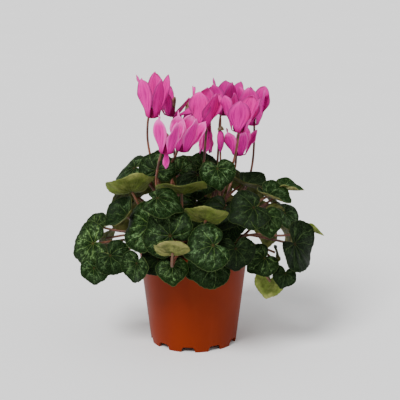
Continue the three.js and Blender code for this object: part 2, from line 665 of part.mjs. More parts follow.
// Where a stalk leaves the corm, for the direction and distance of what it carries.
function rootPoint(target, radius) {
  const angle = Math.atan2(target.y, target.x);
  const z = CORM.z + CORM.halfHeight * Math.sqrt(1 - (radius / CORM.radius) ** 2);
  return new THREE.Vector3(radius * Math.cos(angle), radius * Math.sin(angle), z - ROOTS.depth);
}

// Points every few millimetres on the straight stretches between corners.
function spread(corners) {
  const points = [];
  for (let k = 0; k + 1 < corners.length; k++) {
    const parts = Math.ceil(corners[k].distanceTo(corners[k + 1]) / BOWS.spacing);
    for (let part = 0; part < parts; part++)
      points.push(corners[k].clone().lerp(corners[k + 1], part / parts));
  }
  return [...points, corners[corners.length - 1]];
}

// The first of the natural bows from the corm to an end that is clear of everything, or else the clearest.
// pathOf makes the stalk's whole path from a bow, and steps is the number of straight stretches in it.
function route({ ends, inner, radius, own, carries, steps, pathOf = (curve) => curve }) {
  let best = null;
  const price = (curve) => {
    const points = spread(pathOf(curve).getSpacedPoints(steps));
    return crowding(points.slice(2), radius, own, carries);
  };
  for (const rootStep of BOWS.rootSteps)
    for (const sweep of BOWS.sweeps)
      for (const rise of BOWS.rises)
        for (const { end, arrival } of ends)
          for (const [first, last] of BOWS.handles) {
            const root = rootPoint(end, inner + rootStep);
            const span = root.distanceTo(end);
            const leave = new THREE.Vector3(end.x, end.y, 0).normalize().applyAxisAngle(UP, radians(sweep));
            leave.multiplyScalar(Math.cos(radians(rise))).addScaledVector(UP, Math.sin(radians(rise)));
            const curve = new THREE.CubicBezierCurve3(
              root,
              root.clone().addScaledVector(leave, span * first),
              end.clone().addScaledVector(arrival, -span * last),
              end,
            );
            const cost = price(curve);
            if (!best || cost < best.cost) best = { cost, curve };
            if (!cost) return best;
          }
  return easedRoute(best, own, carries, price);
}

// Bends the clearest bow further, by small seeded changes of its two handles that each make it clearer.
function easedRoute(best, own, carries, price) {
  const seed = own ? own.index : 100 + (carries ? carries.index : 50);
  const { v0: root, v2: handle, v3: top } = best.curve;
  const arrival = top.clone().sub(handle).normalize();
  for (let turn = 0; turn < EASE.turns && best.cost > 0; turn++) {
    const reach = EASE.reach * (1 - turn / EASE.turns) + 1;
    const shift = (k) => (chance(seed + EASE.step * turn, k) * 2 - 1) * reach;
    const first = best.curve.v1.clone().add(new THREE.Vector3(shift(1), shift(2), shift(3)));
    const last = best.curve.v2.clone();
    if (own) last.add(new THREE.Vector3(shift(4), shift(5), shift(6)));
    else last.addScaledVector(arrival, Math.min(shift(4), top.distanceTo(last) - EASE.shortest));
    const heading = top.clone().sub(last).normalize();
    if (own && heading.dot(own.normal) < EASE.faceOn) continue;
    const curve = new THREE.CubicBezierCurve3(root, first, last, own ? stalkEnd(own, heading) : top);
    const cost = price(curve);
    if (cost < best.cost) best = { cost, curve };
  }
  return best;
}

// Every stalk's path and radius, kept for the notches in blades that a stalk passes.
const stalks = [];

function stalkSolid({ path, radius, sides, steps }, spare = 0) {
  return solidOf(tube(path, radius + spare, sides, steps));
}

function addStalk(path, radius, { sides, steps }) {
  stalks.push({ path, radius, sides, steps });
  return stalkSolid(stalks[stalks.length - 1]);
}

// Where a leaf's stalk ends below the blade, clear of it by the seat's gap however much it leans.
function stalkEnd(leaf, arrival) {
  const lean = arrival.clone().cross(leaf.normal).length();
  const below = BLADE.thickness / 2 + SEAT_GAP + PETIOLE.radius * (0.8 * lean + 0.6 * Math.max(0, -leaf.cup));
  return leaf.place.clone().addScaledVector(leaf.normal, -below);
}

// A leaf's stalk comes up from under the notch and ends just below the blade.
function petiole(leaf) {
  const ends = PETIOLE.lies.map((lie) => {
    const arrival = leaf.normal.clone().multiplyScalar(Math.cos(radians(lie)));
    arrival.addScaledVector(leaf.along, Math.sin(radians(lie)));
    return { end: stalkEnd(leaf, arrival), arrival };
  });
  const inner = ROOTS.leaf + ROOTS.leafSpread * chance(leaf.index, 3);
  const best = route({ ends, inner, radius: PETIOLE.radius, own: leaf, steps: PETIOLE.steps });
  return addStalk(best.curve, PETIOLE.radius, PETIOLE);
}

// Distances from a bloom's axis, and heights over its mouth, along the top of its stalk: up between the two
// back petals, over, and down into the calyx.
const STALK_HOOK = [
  [12, -15],
  [9.8, -5],
  [7.4, 2],
  [6.2, 8],
  [5.6, 14.5],
  [3.6, 19],
  [0.8, 18.5],
  [0, TUBE.height + 2.5],
];

function hookedPath(curve, hook) {
  const lower = curve.getSpacedPoints(BOWS.lowerPoints).slice(0, -1);
  return new THREE.CatmullRomCurve3([...lower, ...hook], false, "centripetal");
}

// The small cup between a stalk and its bloom, seated just over the bloom.
function calyxGeometry() {
  const { radius, widest, shoulder, height, segments } = CALYX;
  const profile = [
    [0, SEAT_GAP],
    [radius, SEAT_GAP],
    [widest, shoulder],
    [0, height],
  ];
  return turned(profile, segments);
}

// A flower stalk comes up beside the mouth and hooks over into the calyx.
function flowerStalk(bloom) {
  const over = ([across, height]) => new THREE.Vector3(0, across, height).applyMatrix4(bloom.frame);
  const hook = STALK_HOOK.map(over);
  const start = hook[0];
  const arrival = hook[1].clone().sub(start).normalize();
  const inner = ROOTS.flower + ROOTS.flowerSpread * chance(bloom.index, 5);
  const pathOf = (curve) => hookedPath(curve, hook);
  const ends = [{ end: start, arrival }];
  const best = route({ ends, inner, radius: STALK.radius, carries: bloom, steps: STALK.steps, pathOf });
  const stalk = addStalk(pathOf(best.curve), STALK.radius, STALK);
  const calyx = calyxGeometry().translate(0, 0, TUBE.height);
  return stalk.add(solidOf(calyx.applyMatrix4(bloom.frame)));
}

// The bud's stalk hooks over more tightly, beside the calyx that the bud hangs from.
const BUD_HOOK = [
  [7, -14],
  [7, 0],
  [6.4, 9],
  [3.6, 12],
  [0.6, 9.5],
  [0, 4],
];

function budStalk() {
  const [x, y, z] = BUD.at;
  const hook = BUD_HOOK.map(([across, height]) => new THREE.Vector3(x, y + across, z + height));
  const pathOf = (curve) => hookedPath(curve, hook);
  const radius = STALK.radius * BUD.stalk;
  const ends = [{ end: hook[0], arrival: UP }];
  const best = route({ ends, inner: ROOTS.bud, radius, steps: STALK.steps, pathOf });
  const stalk = addStalk(pathOf(best.curve), radius, STALK);
  return stalk.add(solidOf(calyxGeometry().translate(x, y, z)));
}

function cormGeometry(extra) {
  const geometry = new THREE.SphereGeometry(1, 12, 6).rotateX(Math.PI / 2);
  geometry.scale(CORM.radius + extra, CORM.radius + extra, CORM.halfHeight + extra);
  return geometry.translate(0, 0, CORM.z);
}

// Corm, leaf stalks, flower stalks and calyxes, grown as one.
function crownSolid() {
  const mound = new THREE.SphereGeometry(1, 10, 7).rotateX(Math.PI / 2);
  mound.scale(CROWN_MOUND.radius, CROWN_MOUND.radius, CROWN_MOUND.halfHeight).translate(0, 0, CROWN_MOUND.z);
  let solid = solidOf(cormGeometry(0)).add(solidOf(mound));
  for (const leaf of leaves) solid = solid.add(petiole(leaf));
  for (const bloom of blooms) solid = solid.add(flowerStalk(bloom));
  return largest(solid.add(budStalk()).simplify(DETAIL.crown));
}

function bladeGeometry(leaf) {
  const angles = spokeAngles(BLADE.spokes);
  const ring = (share) => angles.map((angle) => bladePoint(leaf, share, angle));
  const rings = [[bladePoint(leaf, 0, 0)], ring(BLADE.innerRing), ring(1)];
  const blade = sheet(rings, BLADE.thickness, true).applyMatrix4(leaf.turn);
  return blade.translate(leaf.place.x, leaf.place.y, leaf.place.z);
}

// A leaf's blade, with the blades that lie onto it, notched round a stalk that finds no way past it.
function leafGeometry(leaf, crown) {
  const group = leaves.filter((other) => groupOf(other) === leaf);
  const solids = group.map((member) => solidOf(bladeGeometry(member)));
  let blade = solids.reduce((sum, solid) => sum.add(solid));
  if (!blade.intersect(crown).isEmpty())
    for (const stalk of stalks)
      if (!blade.intersect(stalkSolid(stalk)).isEmpty())
        blade = blade.subtract(stalkSolid(stalk, 2 * SEAT_GAP));
  const whole = largest(blade);
  if (whole.volume() < 0.95 * blade.volume()) throw new Error("leaf row " + leaf.index + " is in pieces");
  return geometryOf(whole);
}

function potGeometry() {
  const { height, topRadius, baseRadius, wall, floorTop, floorThickness, footWidth, padRadius } = POT;
  const { lipHeight, lipWall, lipStep, lipSlope, rounding, segments } = POT;
  const floorBottom = floorTop - floorThickness;
  const lipBottom = height - lipHeight;
  const profile = [
    [0, 0],
    [padRadius, 0],
    [padRadius, floorBottom],
    [baseRadius - footWidth, floorBottom],
    [baseRadius - footWidth, 0],
    [baseRadius, 0],
    [potRadius(lipBottom), lipBottom],
    [potRadius(lipBottom) + lipStep, lipBottom + lipSlope / 2],
    [topRadius, height - rounding],
    [topRadius - rounding, height],
    [topRadius - lipWall, height],
    [potRadius(lipBottom) - lipWall, lipBottom],
    [potRadius(lipBottom) - wall, lipBottom - lipSlope],
    [potRadius(floorTop) - wall, floorTop],
    [0, floorTop],
  ];
  let solid = solidOf(turned(profile, segments));
  const foot = NOTCH.width / 2;
  const top = NOTCH.topWidth / 2;
  const outline = new THREE.Shape([
    new THREE.Vector2(-foot, -1),
    new THREE.Vector2(foot, -1),
    new THREE.Vector2(foot - NOTCH.taper, NOTCH.shoulder),
    new THREE.Vector2(top, NOTCH.height),
    new THREE.Vector2(-top, NOTCH.height),
    new THREE.Vector2(-foot + NOTCH.taper, NOTCH.shoulder),
  ]);
  for (let k = 0; k < NOTCH.count; k++) {
    const cutter = new THREE.ExtrudeGeometry(outline, { depth: NOTCH.depth, bevelEnabled: false });
    cutter.rotateX(Math.PI / 2);
    cutter.translate(0, footWidth + wall + 1 - baseRadius, 0);
    cutter.rotateZ(radians(NOTCH.firstAngle + (k * 360) / NOTCH.count));
    solid = solid.subtract(solidOf(cutter));
  }
  return geometryOf(solid);
}

function soilGeometry() {
  const inner = (z) => potRadius(z) - POT.wall - SEAT_GAP;
  const bottom = POT.floorTop + SEAT_GAP;
  const profile = [
    [0, bottom],
    [inner(bottom), bottom],
    [inner(SOIL.top), SOIL.top],
    [inner(SOIL.top) * SOIL.bank, SOIL.top + SOIL.mound * 0.8],
    [CORM.radius * SOIL.crest, SOIL.top + SOIL.mound],
    [0, SOIL.top + SOIL.mound],
  ];
  return geometryOf(solidOf(turned(profile, POT.segments)).subtract(solidOf(cormGeometry(SEAT_GAP))));
}

const plant = new THREE.Group();

function addMesh(name, geometry, colour, roughness) {
  const material = new THREE.MeshStandardMaterial({ color: colour, roughness, metalness: 0 });
  const mesh = new THREE.Mesh(geometry, material);
  mesh.name = name;
  plant.add(mesh);
}

const numbered = (word, index) => word + "_" + String(index + 1).padStart(2, "0");

addMesh("pot", potGeometry(), COLOURS.pot, 0.45);
addMesh("soil", soilGeometry(), COLOURS.soil, 0.95);
const crown = crownSolid();
addMesh("crown", geometryOf(crown), COLOURS.crown, 0.6);
leaves
  .filter((leaf) => leaf.onto === undefined)
  .forEach((leaf, index) => addMesh(numbered("leaf", index), leafGeometry(leaf, crown), COLOURS.leaf, 0.5));
for (const bloom of blooms)
  addMesh(numbered("bloom", bloom.index), bloomGeometry(bloom), COLOURS.bloom, 0.55);
addMesh("bud", budGeometry(), COLOURS.bloom, 0.55);

export default plant;
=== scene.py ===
import math
from collections import namedtuple

import bpy
import numpy as np
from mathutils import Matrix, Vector


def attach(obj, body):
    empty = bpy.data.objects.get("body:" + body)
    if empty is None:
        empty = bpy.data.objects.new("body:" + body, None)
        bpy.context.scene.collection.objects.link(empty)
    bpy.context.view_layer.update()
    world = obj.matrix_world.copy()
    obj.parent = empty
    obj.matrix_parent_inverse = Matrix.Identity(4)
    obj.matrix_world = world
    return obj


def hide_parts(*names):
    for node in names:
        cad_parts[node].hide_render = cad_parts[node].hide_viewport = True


bl_info = {
    "name": "Potted cyclamen",
    "version": (1, 0, 0),
    "blender": (4, 5, 0),
    "location": "3D View > Sidebar > Cyclamen",
    "description": "Fine leaves, blooms, stalks, peat and pot of a potted cyclamen",
    "category": "Object",
}

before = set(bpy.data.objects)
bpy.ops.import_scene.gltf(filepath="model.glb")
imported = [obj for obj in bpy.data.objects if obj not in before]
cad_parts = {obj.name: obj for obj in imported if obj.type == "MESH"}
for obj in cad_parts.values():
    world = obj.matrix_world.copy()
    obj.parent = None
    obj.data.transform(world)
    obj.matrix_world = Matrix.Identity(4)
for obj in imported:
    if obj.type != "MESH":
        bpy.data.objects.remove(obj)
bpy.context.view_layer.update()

# The plant's tables and formulas are in millimetres and degrees, and every mesh is made in metres.
MM = 0.001
UP = np.array((0.0, 0.0, 1.0))
# A full turn in radians, rounded as the solids have it.
FULL_TURN = 6.283

# at is where the stalk meets the blade, face the yaw and pitch of its upper face, tip the turn of its tip,
# size its length, cup and fold the rise of its rim and of its sides, onto the row whose blade it lies on.
Leaf = namedtuple("Leaf", "at face tip size cup fold onto", defaults=(None,))
LEAVES = [Leaf(*row) for row in (
    ((-23, -90, 144), (-8, 18), -134, 51, -0.12, 0.1),
    ((20, -102, 135), (4, 36), -74, 47, -0.12, 0.12),
    ((61, -80, 168), (8, 44), -66, 43, -0.1, 0.14),
    ((25, -43, 200), (2, 26), 8, 35, -0.15, 0.1),
    ((4, -12, 188), (0, 62), 4, 42, -0.2, 0.05),
    ((-47, -74, 152), (-30, 34), -112, 60, -0.14, 0.08),
    ((-36, -74, 177), (0, 66), 72, 43, -0.18, 0.1),
    ((-71, -36, 153), (-62, 50), -30, 44, 0.2, 0.15),
    ((-62, -26, 172), (202, 52), 180, 50, 0.16, 0.1),
    ((-64, 2, 192), (-42, 54), -62, 42, -0.14, 0.1),
    ((-38, -16, 188), (-8, 22), 176, 38, -0.16, 0.1),
    ((-14, 8, 188), (5, 30), 160, 32, -0.1, 0.12),
    ((9, 20, 190), (0, 34), 178, 32, -0.1, 0.1),
    ((56, 0, 174), (65, 76), 4, 42, 0.14, 0.3),
    ((79, -25, 168), (60, 68), 10, 40, 0.18, 0.16),
    ((98, 4, 168), (82, 84), 5, 34, 0.1, 0.3, 14),
    ((89, -8, 148), (166, 66), -84, 32, 0.1, 0.15),
    ((97, -34, 150), (58, 42), 2, 36, -0.1, 0.3),
    ((125, -18, 128), (130, 60), -50, 25, 0.1, 0.2),
    ((104, -46, 120), (44, 20), 44, 54, -0.05, 0.26),
    ((43, -86, 127), (10, 12), 2, 38, -0.1, 0.18),
    ((74, -62, 110), (6, 24), -52, 34, -0.12, 0.14),
    ((81, -45, 80), (172, 4), 14, 30, -0.1, 0.24),
    ((96, -58, 92), (20, 24), -22, 25, -0.1, 0.1),
    ((89, -20, 104), (94, 6), 6, 21, -0.1, 0.35),
    ((20, -86, 112), (0, 28), -66, 47, -0.14, 0.1),
    ((-35, -78, 113), (-14, 20), -38, 31, -0.1, 0.12),
    ((-23, -88, 110), (2, 38), 4, 31, -0.12, 0.1),
    ((-58, -77, 109), (-40, 12), -14, 35, -0.04, 0.3),
    ((-86, -52, 110), (-10, 18), 50, 37, -0.1, 0.12),
    ((-106, -36, 113), (-30, 28), -62, 48, -0.12, 0.2),
    ((-105, -50, 101), (-12, 10), -4, 30, -0.12, 0.1),
    ((-107, 10, 126), (-30, 34), -110, 30, -0.1, 0.1),
    ((13, -72, 151), (172, 48), 186, 42, 0.1, 0.12),
    ((-20, -106, 129), (168, 44), 158, 35, 0.08, 0.08),
    ((32, -62, 166), (-4, 42), -20, 41, -0.12, 0.14),
    ((32, -34, 150), (12, 40), 10, 50, -0.12, 0.12),
    ((-12, -42, 172), (184, 62), 176, 50, 0.1, 0.05),
    ((96, 34, 150), (106, 40), 10, 46, -0.14, 0.12),
    ((102, 34, 118), (108, 18), -16, 42, -0.12, 0.12, 38),
    ((61, 65, 168), (138, 46), -12, 50, -0.14, 0.12),
    ((72, 76, 132), (140, 22), 14, 48, -0.12, 0.12, 40),
    ((78, 62, 106), (130, 14), -10, 38, -0.12, 0.12, 41),
    ((18, 80, 164), (172, 40), 8, 52, -0.14, 0.1),
    ((26, 94, 130), (168, 20), -18, 48, -0.12, 0.12, 43),
    ((18, 90, 106), (174, 12), 14, 38, -0.12, 0.12, 44),
    ((-30, 74, 168), (204, 44), -8, 50, -0.14, 0.12),
    ((-26, 92, 132), (196, 22), 20, 48, -0.12, 0.12, 46),
    ((-34, 84, 106), (206, 14), 0, 38, -0.12, 0.12, 47),
    ((-76, 48, 160), (236, 42), 6, 50, -0.14, 0.12),
    ((-74, 66, 126), (226, 22), -16, 46, -0.12, 0.12, 49),
    ((-98, 24, 108), (250, 18), 4, 40, -0.12, 0.14),
    ((3, 49, 192), (174, 56), 6, 46, -0.16, 0.1),
    ((44, 46, 186), (130, 56), -10, 42, -0.16, 0.1, 52),
    ((-51, 31, 173), (222, 50), 10, 48, -0.16, 0.1),
    ((2, -26, 158), (-6, 44), -8, 44, -0.12, 0.12, 36),
    ((74, -84, 160), (24, 36), 6, 33, -0.1, 0.14, 2),
)]

# mouth is the middle of its mouth, lean the way its petals lean, reflex 1 for petals swept back and 0 for
# hanging ones, width half a petal's width as a share of its length, and stray one petal's number, reflex
# and share of the length.
Bloom = namedtuple("Bloom", "mouth lean spin length reflex width stray", defaults=(None, None))
BLOOMS = [Bloom(*row) for row in (
    ((-43, -6, 249), (0, -1), 32, 47, 1, 0.18),
    ((-25, 28, 245), (6, 0), -25, 35, 0.88, 0.2, (2, 0.66, 0.95)),
    ((-8, 50, 237), (3, 2), 20, 21, 0.7),
    ((-28, -51, 219), (5, 0), 30, 38, 1, 0.2, (2, 0.02, 0.44)),
    ((-12, -24, 216), (8, 0), 30, 41, 1, 0.25),
    ((9, 2, 238), (8, 0), -36, 41, 1, 0.3),
    ((34, 40, 244), (-1, 2), 30, 41, 1, 0.28),
    ((47, -20, 236), (5, -2), -8, 42, 1, 0.29),
    ((63, 16, 237), (3, 2), -20, 43, 1, 0.27),
    ((15, 25, 232), (2, 0), 0, 27, -0.02, 0.2),
    ((49, 11, 205), (0, 0), 16, 31, 0.97, 0.26),
)]
BUD = {"at": (29, 6, 232), "length": 24, "radius": 3.6, "twist": 120}

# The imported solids' own sizes, which the fine pieces keep.
POT = {
    "height": 108, "top": 60, "base": 47, "wall": 1.5, "lip_height": 8, "lip_wall": 2.6,
    "floor_top": 4.5, "floor": 1.5, "foot": 3, "pad": 9, "lip_out": 0.5, "lip_up": 1, "lip_edge": 0.6,
    "lip_down": 2,
}
NOTCH = {"count": 10, "first": -7, "width": 15, "top": 10, "height": 6}
SOIL = {"top": 92, "mound": 2.5, "gap": 0.3}
CORM = {"radius": 24, "half": 12, "z": 93, "root_depth": 4}
MOUND = {"radius": 18, "half": 14, "z": 103}
BLADE = {"thickness": 0.8, "spokes": 13, "inner": 0.56, "gather": 0.16}
HEART = {
    "rim": 0.48, "tip": 0.1, "waist": 0.05, "point": 0.1, "point_width": 0.26, "notch": 0.8,
    "notch_width": 0.4,
}
RELIEF = {"cup": 1.7, "fold": 0.04, "droop": 0.22, "wave": 0.035, "waves": 4}
TUBE = {"mouth": 3.4, "top": 3.2, "height": 9, "wall": 1.1}
PETAL = {
    "bend": 5, "base": 2, "sag": 0.9, "tip": 0.62, "width": 0.245, "young_width": 0.16, "young_reflex": 0.5,
    "front": (0.04, 0.6), "back": (0.14, 0.62), "back_petals": (2, 3), "shortest": 0.94, "longer": 0.12,
}
PETAL_ANGLES = [math.radians(angle) for angle in (-90, -18, 48, 132, 198)]
# Degrees from straight down: hanging, then what the full bend back adds at the foot and at the tip.
HEADING = {"hanging": 8, "foot": 50, "tip": 158, "front_tip": 151, "stray": 8, "front_stray": 12}
TWIST = {"least": 10, "reflexed": 14, "stray": 8, "start": 0.1}
STALK_RADIUS = 1.4
# Across and up from the mouth's middle, from the stalk's upper end over its bend to the calyx.
HOOK = [(12, -15), (9.8, -5), (7.4, 2), (6.2, 8), (5.6, 14.5), (3.6, 19), (0.8, 18.5), (0, 11.5)]
BUD_HOOK = [(7, -14), (7, 0), (6.4, 9), (3.6, 12), (0.6, 9.5), (0, 4)]

# What the repeatable chance numbers are drawn for.
DRAW = {
    "wave": 1, "root": 3, "wide_lobes": 4, "narrow_lobes": 6, "lift": 7, "twist": 11,
    "bright": 21, "silver": 22, "warm": 23, "teeth": 0.3,
}

# Fine detail that the solids leave out, in millimetres, shares, counts and seeds.
RIM_ROUNDING = 0.35
ROUNDING = {"share": 0.22, "points": 4}
TEETH = {"start": 0.93, "band": 0.07, "least": 0.5}
LOBES = {"depth": 0.010, "wide": 6, "narrow": 11, "stray": 9}
SWELL = {"height": 2.2, "pairs": 4, "bend": 0.25, "end": 1.15, "leaf": 40}
EDGE = {"height": 1.1, "pace": 2.2, "seed": 3}
FINE_BLADE = {"thickness": 0.6, "crowding": 0.9, "lower": 0.3}
FINE_PETAL = {"thickness": 0.55, "columns": 13, "substeps": 4, "least_half": 0.5, "flat_foot": 3}
KEEL = {"height": 0.8, "width": 0.14, "start": 0.05, "full": 0.4, "end": 1.15}
FRILL = {"height": 1.5, "along": 7, "across": 1.6}
RAGGED = {"depth": 1.3, "late": 8, "across": 2.3, "own": 1.7}
FINE_TUBE = {"sides": 30, "ribs": 5, "depth": 0.04}
FINE_CALYX = {"sides": 30, "ribs": 5, "depth": 0.07}
CALYX_PROFILE = [(0, 0.3), (2.9, 0.3), (3.5, 0.9), (3.45, 1.9), (2.6, 3.4), (1.7, 4.6), (0, 5.2)]
FINE_BUD = {
    "sides": 40, "rings": 30, "least": 0.3, "early": 0.7, "plump": 0.8, "folds": 4, "fold": 0.12,
    "ridge": 0.05, "first_mark": 0.25, "marked": 0.6,
}
# The rings, sides and lumps of a ball, and for each of the two balls its seed and roughness.
FINE_CORM = {"rings": 28, "sides": 56, "lumps": 6, "corm": (5, 0.02), "mound": (8, 0.04)}
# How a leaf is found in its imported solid, in millimetres.
LEAF_SEARCH = {"reach": 30, "bin": 0.1, "error": 0.08}
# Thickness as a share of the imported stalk's and the taper at its upper end; foot is the taper at the corm,
# and step the distance between a path's points.
STALK_SKIN = {"leaf": (0.95, 1.0), "flower": (1, 0.85), "bud": (0.8, 0.9), "foot": 1.08, "step": 3.0}
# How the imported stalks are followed: the corners of a ring, how many rings, how far each lies below the one
# before, and the errors allowed, in millimetres.
LEAF_STALK = {
    "sides": 3, "rings": 4, "drop": -math.inf, "radius_error": 0.6, "edge_error": 0.04, "near": 24,
    "below": 1.2, "root": 7, "root_stray": 8, "bow": 12, "short_bow": 8,
}
FLOWER_STALK = {
    "sides": 4, "rings": 9, "drop": 3, "radius_error": math.inf, "line_error": 0.35, "mates": 5,
    "step": 0.5, "root": 3, "apart": 5, "far": 60, "bow": 5,
}
FINE_POT = {"close": 0.25, "short": 1, "row": 6, "long": 12, "sharp": 50, "notch_out": 3.5, "notch_in": 5.5}
# coarse and fine are the size of the lumps and their seed.
FINE_PEAT = {
    "sides": 96, "rings": 34, "outer": 0.99, "middle": 0.03, "rise": (0.02, 0.6), "lumps": 0.7, "lower": 0.5,
    "coarse": (2.1, 3), "fine": (0.9, 5), "fine_share": 0.6, "open": 0.2, "rim": 0.5,
    "foot_in": 0.98, "foot_up": 0.4, "edge": 0.5,
}
# Radius within which crumbs lie, and their seeds, turns and proportions.
CRUMBS = {
    "reach": 54, "seed": 7, "turn": (6.28, 6.28, 6.28), "turn_seed": 3, "least": (0.3, 0.5, 0.3),
    "most": (1.0, 1.3, 0.7), "shape_seed": 5,
}

# Rows of leaves that look out of the ordinary in the photo: brightness, silver and warmth of the green.
LEAF_TONES = {
    0: (1.0, 0.75, 0.5), 1: (1.05, 0.9, 0.25), 2: (0.65, 0.45, 0.35), 3: (1.15, 1.0, 0.2),
    4: (0.75, 0.4, 0.1), 5: (1.15, 1.0, 0.45), 6: (1.0, 0.75, 0.15), 7: (0.9, 0.6, 0.3),
    8: (1.5, 0.5, 0.6), 9: (1.05, 0.8, 0.3), 10: (1.0, 0.7, 0.35), 13: (0.6, 0.3, 0.3),
    14: (1.0, 0.7, 0.1), 15: (1.6, 0.4, 0.2), 16: (1.3, 0.5, 0.35), 17: (1.1, 0.8, 0.1),
    18: (2.2, 0.3, 0.9), 19: (0.6, 0.4, 0.3), 20: (0.6, 0.4, 0.5), 21: (1.2, 0.9, 0.7),
    22: (1.9, 0.3, 0.8), 23: (0.8, 0.5, 0.3), 24: (0.8, 0.3, 0.9), 25: (0.9, 0.5, 0.2),
    26: (0.55, 0.2, 0.4), 27: (1.35, 0.9, 0.6), 28: (1.1, 0.9, 0.5), 29: (0.9, 0.6, 0.2),
    30: (1.6, 1.0, 0.8), 31: (1.25, 0.8, 0.2), 32: (1.5, 0.8, 0.9), 33: (1.35, 0.3, 0.6),
    34: (1.25, 0.3, 0.3), 35: (0.55, 0.3, 0.5), 37: (1.2, 0.3, 0.75), 56: (1.25, 0.7, 0.6),
}
# The least and the spread of the same three for every other leaf.
OTHER_TONES = {"bright": (0.7, 0.45), "silver": (0.3, 0.6), "warm": (0.15, 0.5)}
# Brightness of each bloom, how pale its petals' edges are (paler edges take less painted edge shade), and how
# far its colour goes to purple.
BLOOM_TONES = [
    (1.0, 0.15, 0.05), (0.9, 0.2, 0.15), (0.8, 0.2, 0.3), (1.0, 0.9, 0.2), (1.05, 1.0, 0.25),
    (1.05, 0.2, 0.05), (0.85, 0.2, 0.3), (1.0, 0.15, 0.05), (0.9, 0.25, 0.2), (1.05, 0.6, 0.1),
    (1.0, 0.8, 0.25),
]
BUD_TONE = (0.9, 0.3, 0.3)

# Colours that go with the ones the panel offers.
SHADES = {
    "leaf between": (0.0030, 0.014, 0.0010, 1),
    "leaf net": (0.018, 0.052, 0.010, 1),
    "leaf rim": (0.07, 0.11, 0.035, 1),
    "leaf centre": (0.045, 0.02, 0.008, 1),
    "leaf warmth": (0.20, 0.14, 0.02, 1),
    "underside vein": (0.26, 0.27, 0.09, 1),
    # Painted shade on the leaves' undersides.
    "underside painted shade": (0.045, 0.06, 0.012, 1),
    "petal streak": (0.30, 0.0, 0.13, 1),
    # Painted shade along the petals' side edges, parting overlapping petals.
    "petal edge painted shade": (0.17, 0.0, 0.08, 1),
    "petal purple": (0.28, 0.01, 0.22, 1),
    "stalk patches": (0.20, 0.065, 0.035, 1),
    "stalk end": (0.16, 0.09, 0.03, 1),
    "calyx dark": (0.085, 0.045, 0.02, 1),
    "calyx pale": (0.16, 0.13, 0.04, 1),
    "corm dark": (0.05, 0.028, 0.015, 1),
    "corm pale": (0.14, 0.085, 0.05, 1),
    "peat pale": (0.10, 0.065, 0.04, 1),
    "pot clouds": (0.12, 0.011, 0.0, 1),
    "pot dust": (0.20, 0.03, 0.006, 1),
    "floor low": (0.86, 0.86, 0.86, 1),
    "floor high": (0.9, 0.9, 0.9, 1),
}

# The studio, in metres and degrees. Each light has its turn, strength and spread.
FLOOR_REACH = 12.0
WORLD_STRENGTH = 0.66
LIGHTS = {
    "key light": ((42, 0, -32), 4.1, 24),
    "fill light": ((58, 0, 62), 0.4, 60),
}
CAMERA = {"aim": (0.007, 0, 0.157), "rise": 13.5, "distance": 1.2, "lens": 100, "sensor": 36}


class CyclamenSizes(bpy.types.PropertyGroup):
    leaf_spokes: bpy.props.IntProperty(
        name="Leaf spokes", description="Columns of faces round each leaf blade", default=84, min=24, max=160,
    )
    leaf_rings: bpy.props.IntProperty(
        name="Leaf rings", description="Rows of faces from stalk to rim of each leaf", default=15, min=6,
        max=30,
    )
    leaf_edge: bpy.props.FloatProperty(
        name="Leaf edge", description="Depth of the fine teeth, as a share of the leaf's length",
        default=0.011, min=0.0, max=0.05, subtype="FACTOR",
    )
    petal_rows: bpy.props.IntProperty(
        name="Petal rows", description="Rows of faces along each petal", default=36, min=12, max=80,
    )
    stalk_sides: bpy.props.IntProperty(
        name="Stalk sides", description="Faces round each stalk", default=12, min=6, max=32,
    )
    crumb_size: bpy.props.FloatProperty(
        name="Peat crumbs", description="Mean size of the loose crumbs on the peat", default=0.0022,
        min=0.0005, max=0.006, subtype="DISTANCE", unit="LENGTH",
    )
    crumb_density: bpy.props.FloatProperty(
        name="Crumbs per square metre", description="How many loose crumbs lie on the peat", default=60000.0,
        min=0.0, max=200000.0,
    )
    pot_segments: bpy.props.IntProperty(
        name="Pot segments", description="Faces round the pot's wall", default=160, min=32, max=256,
    )


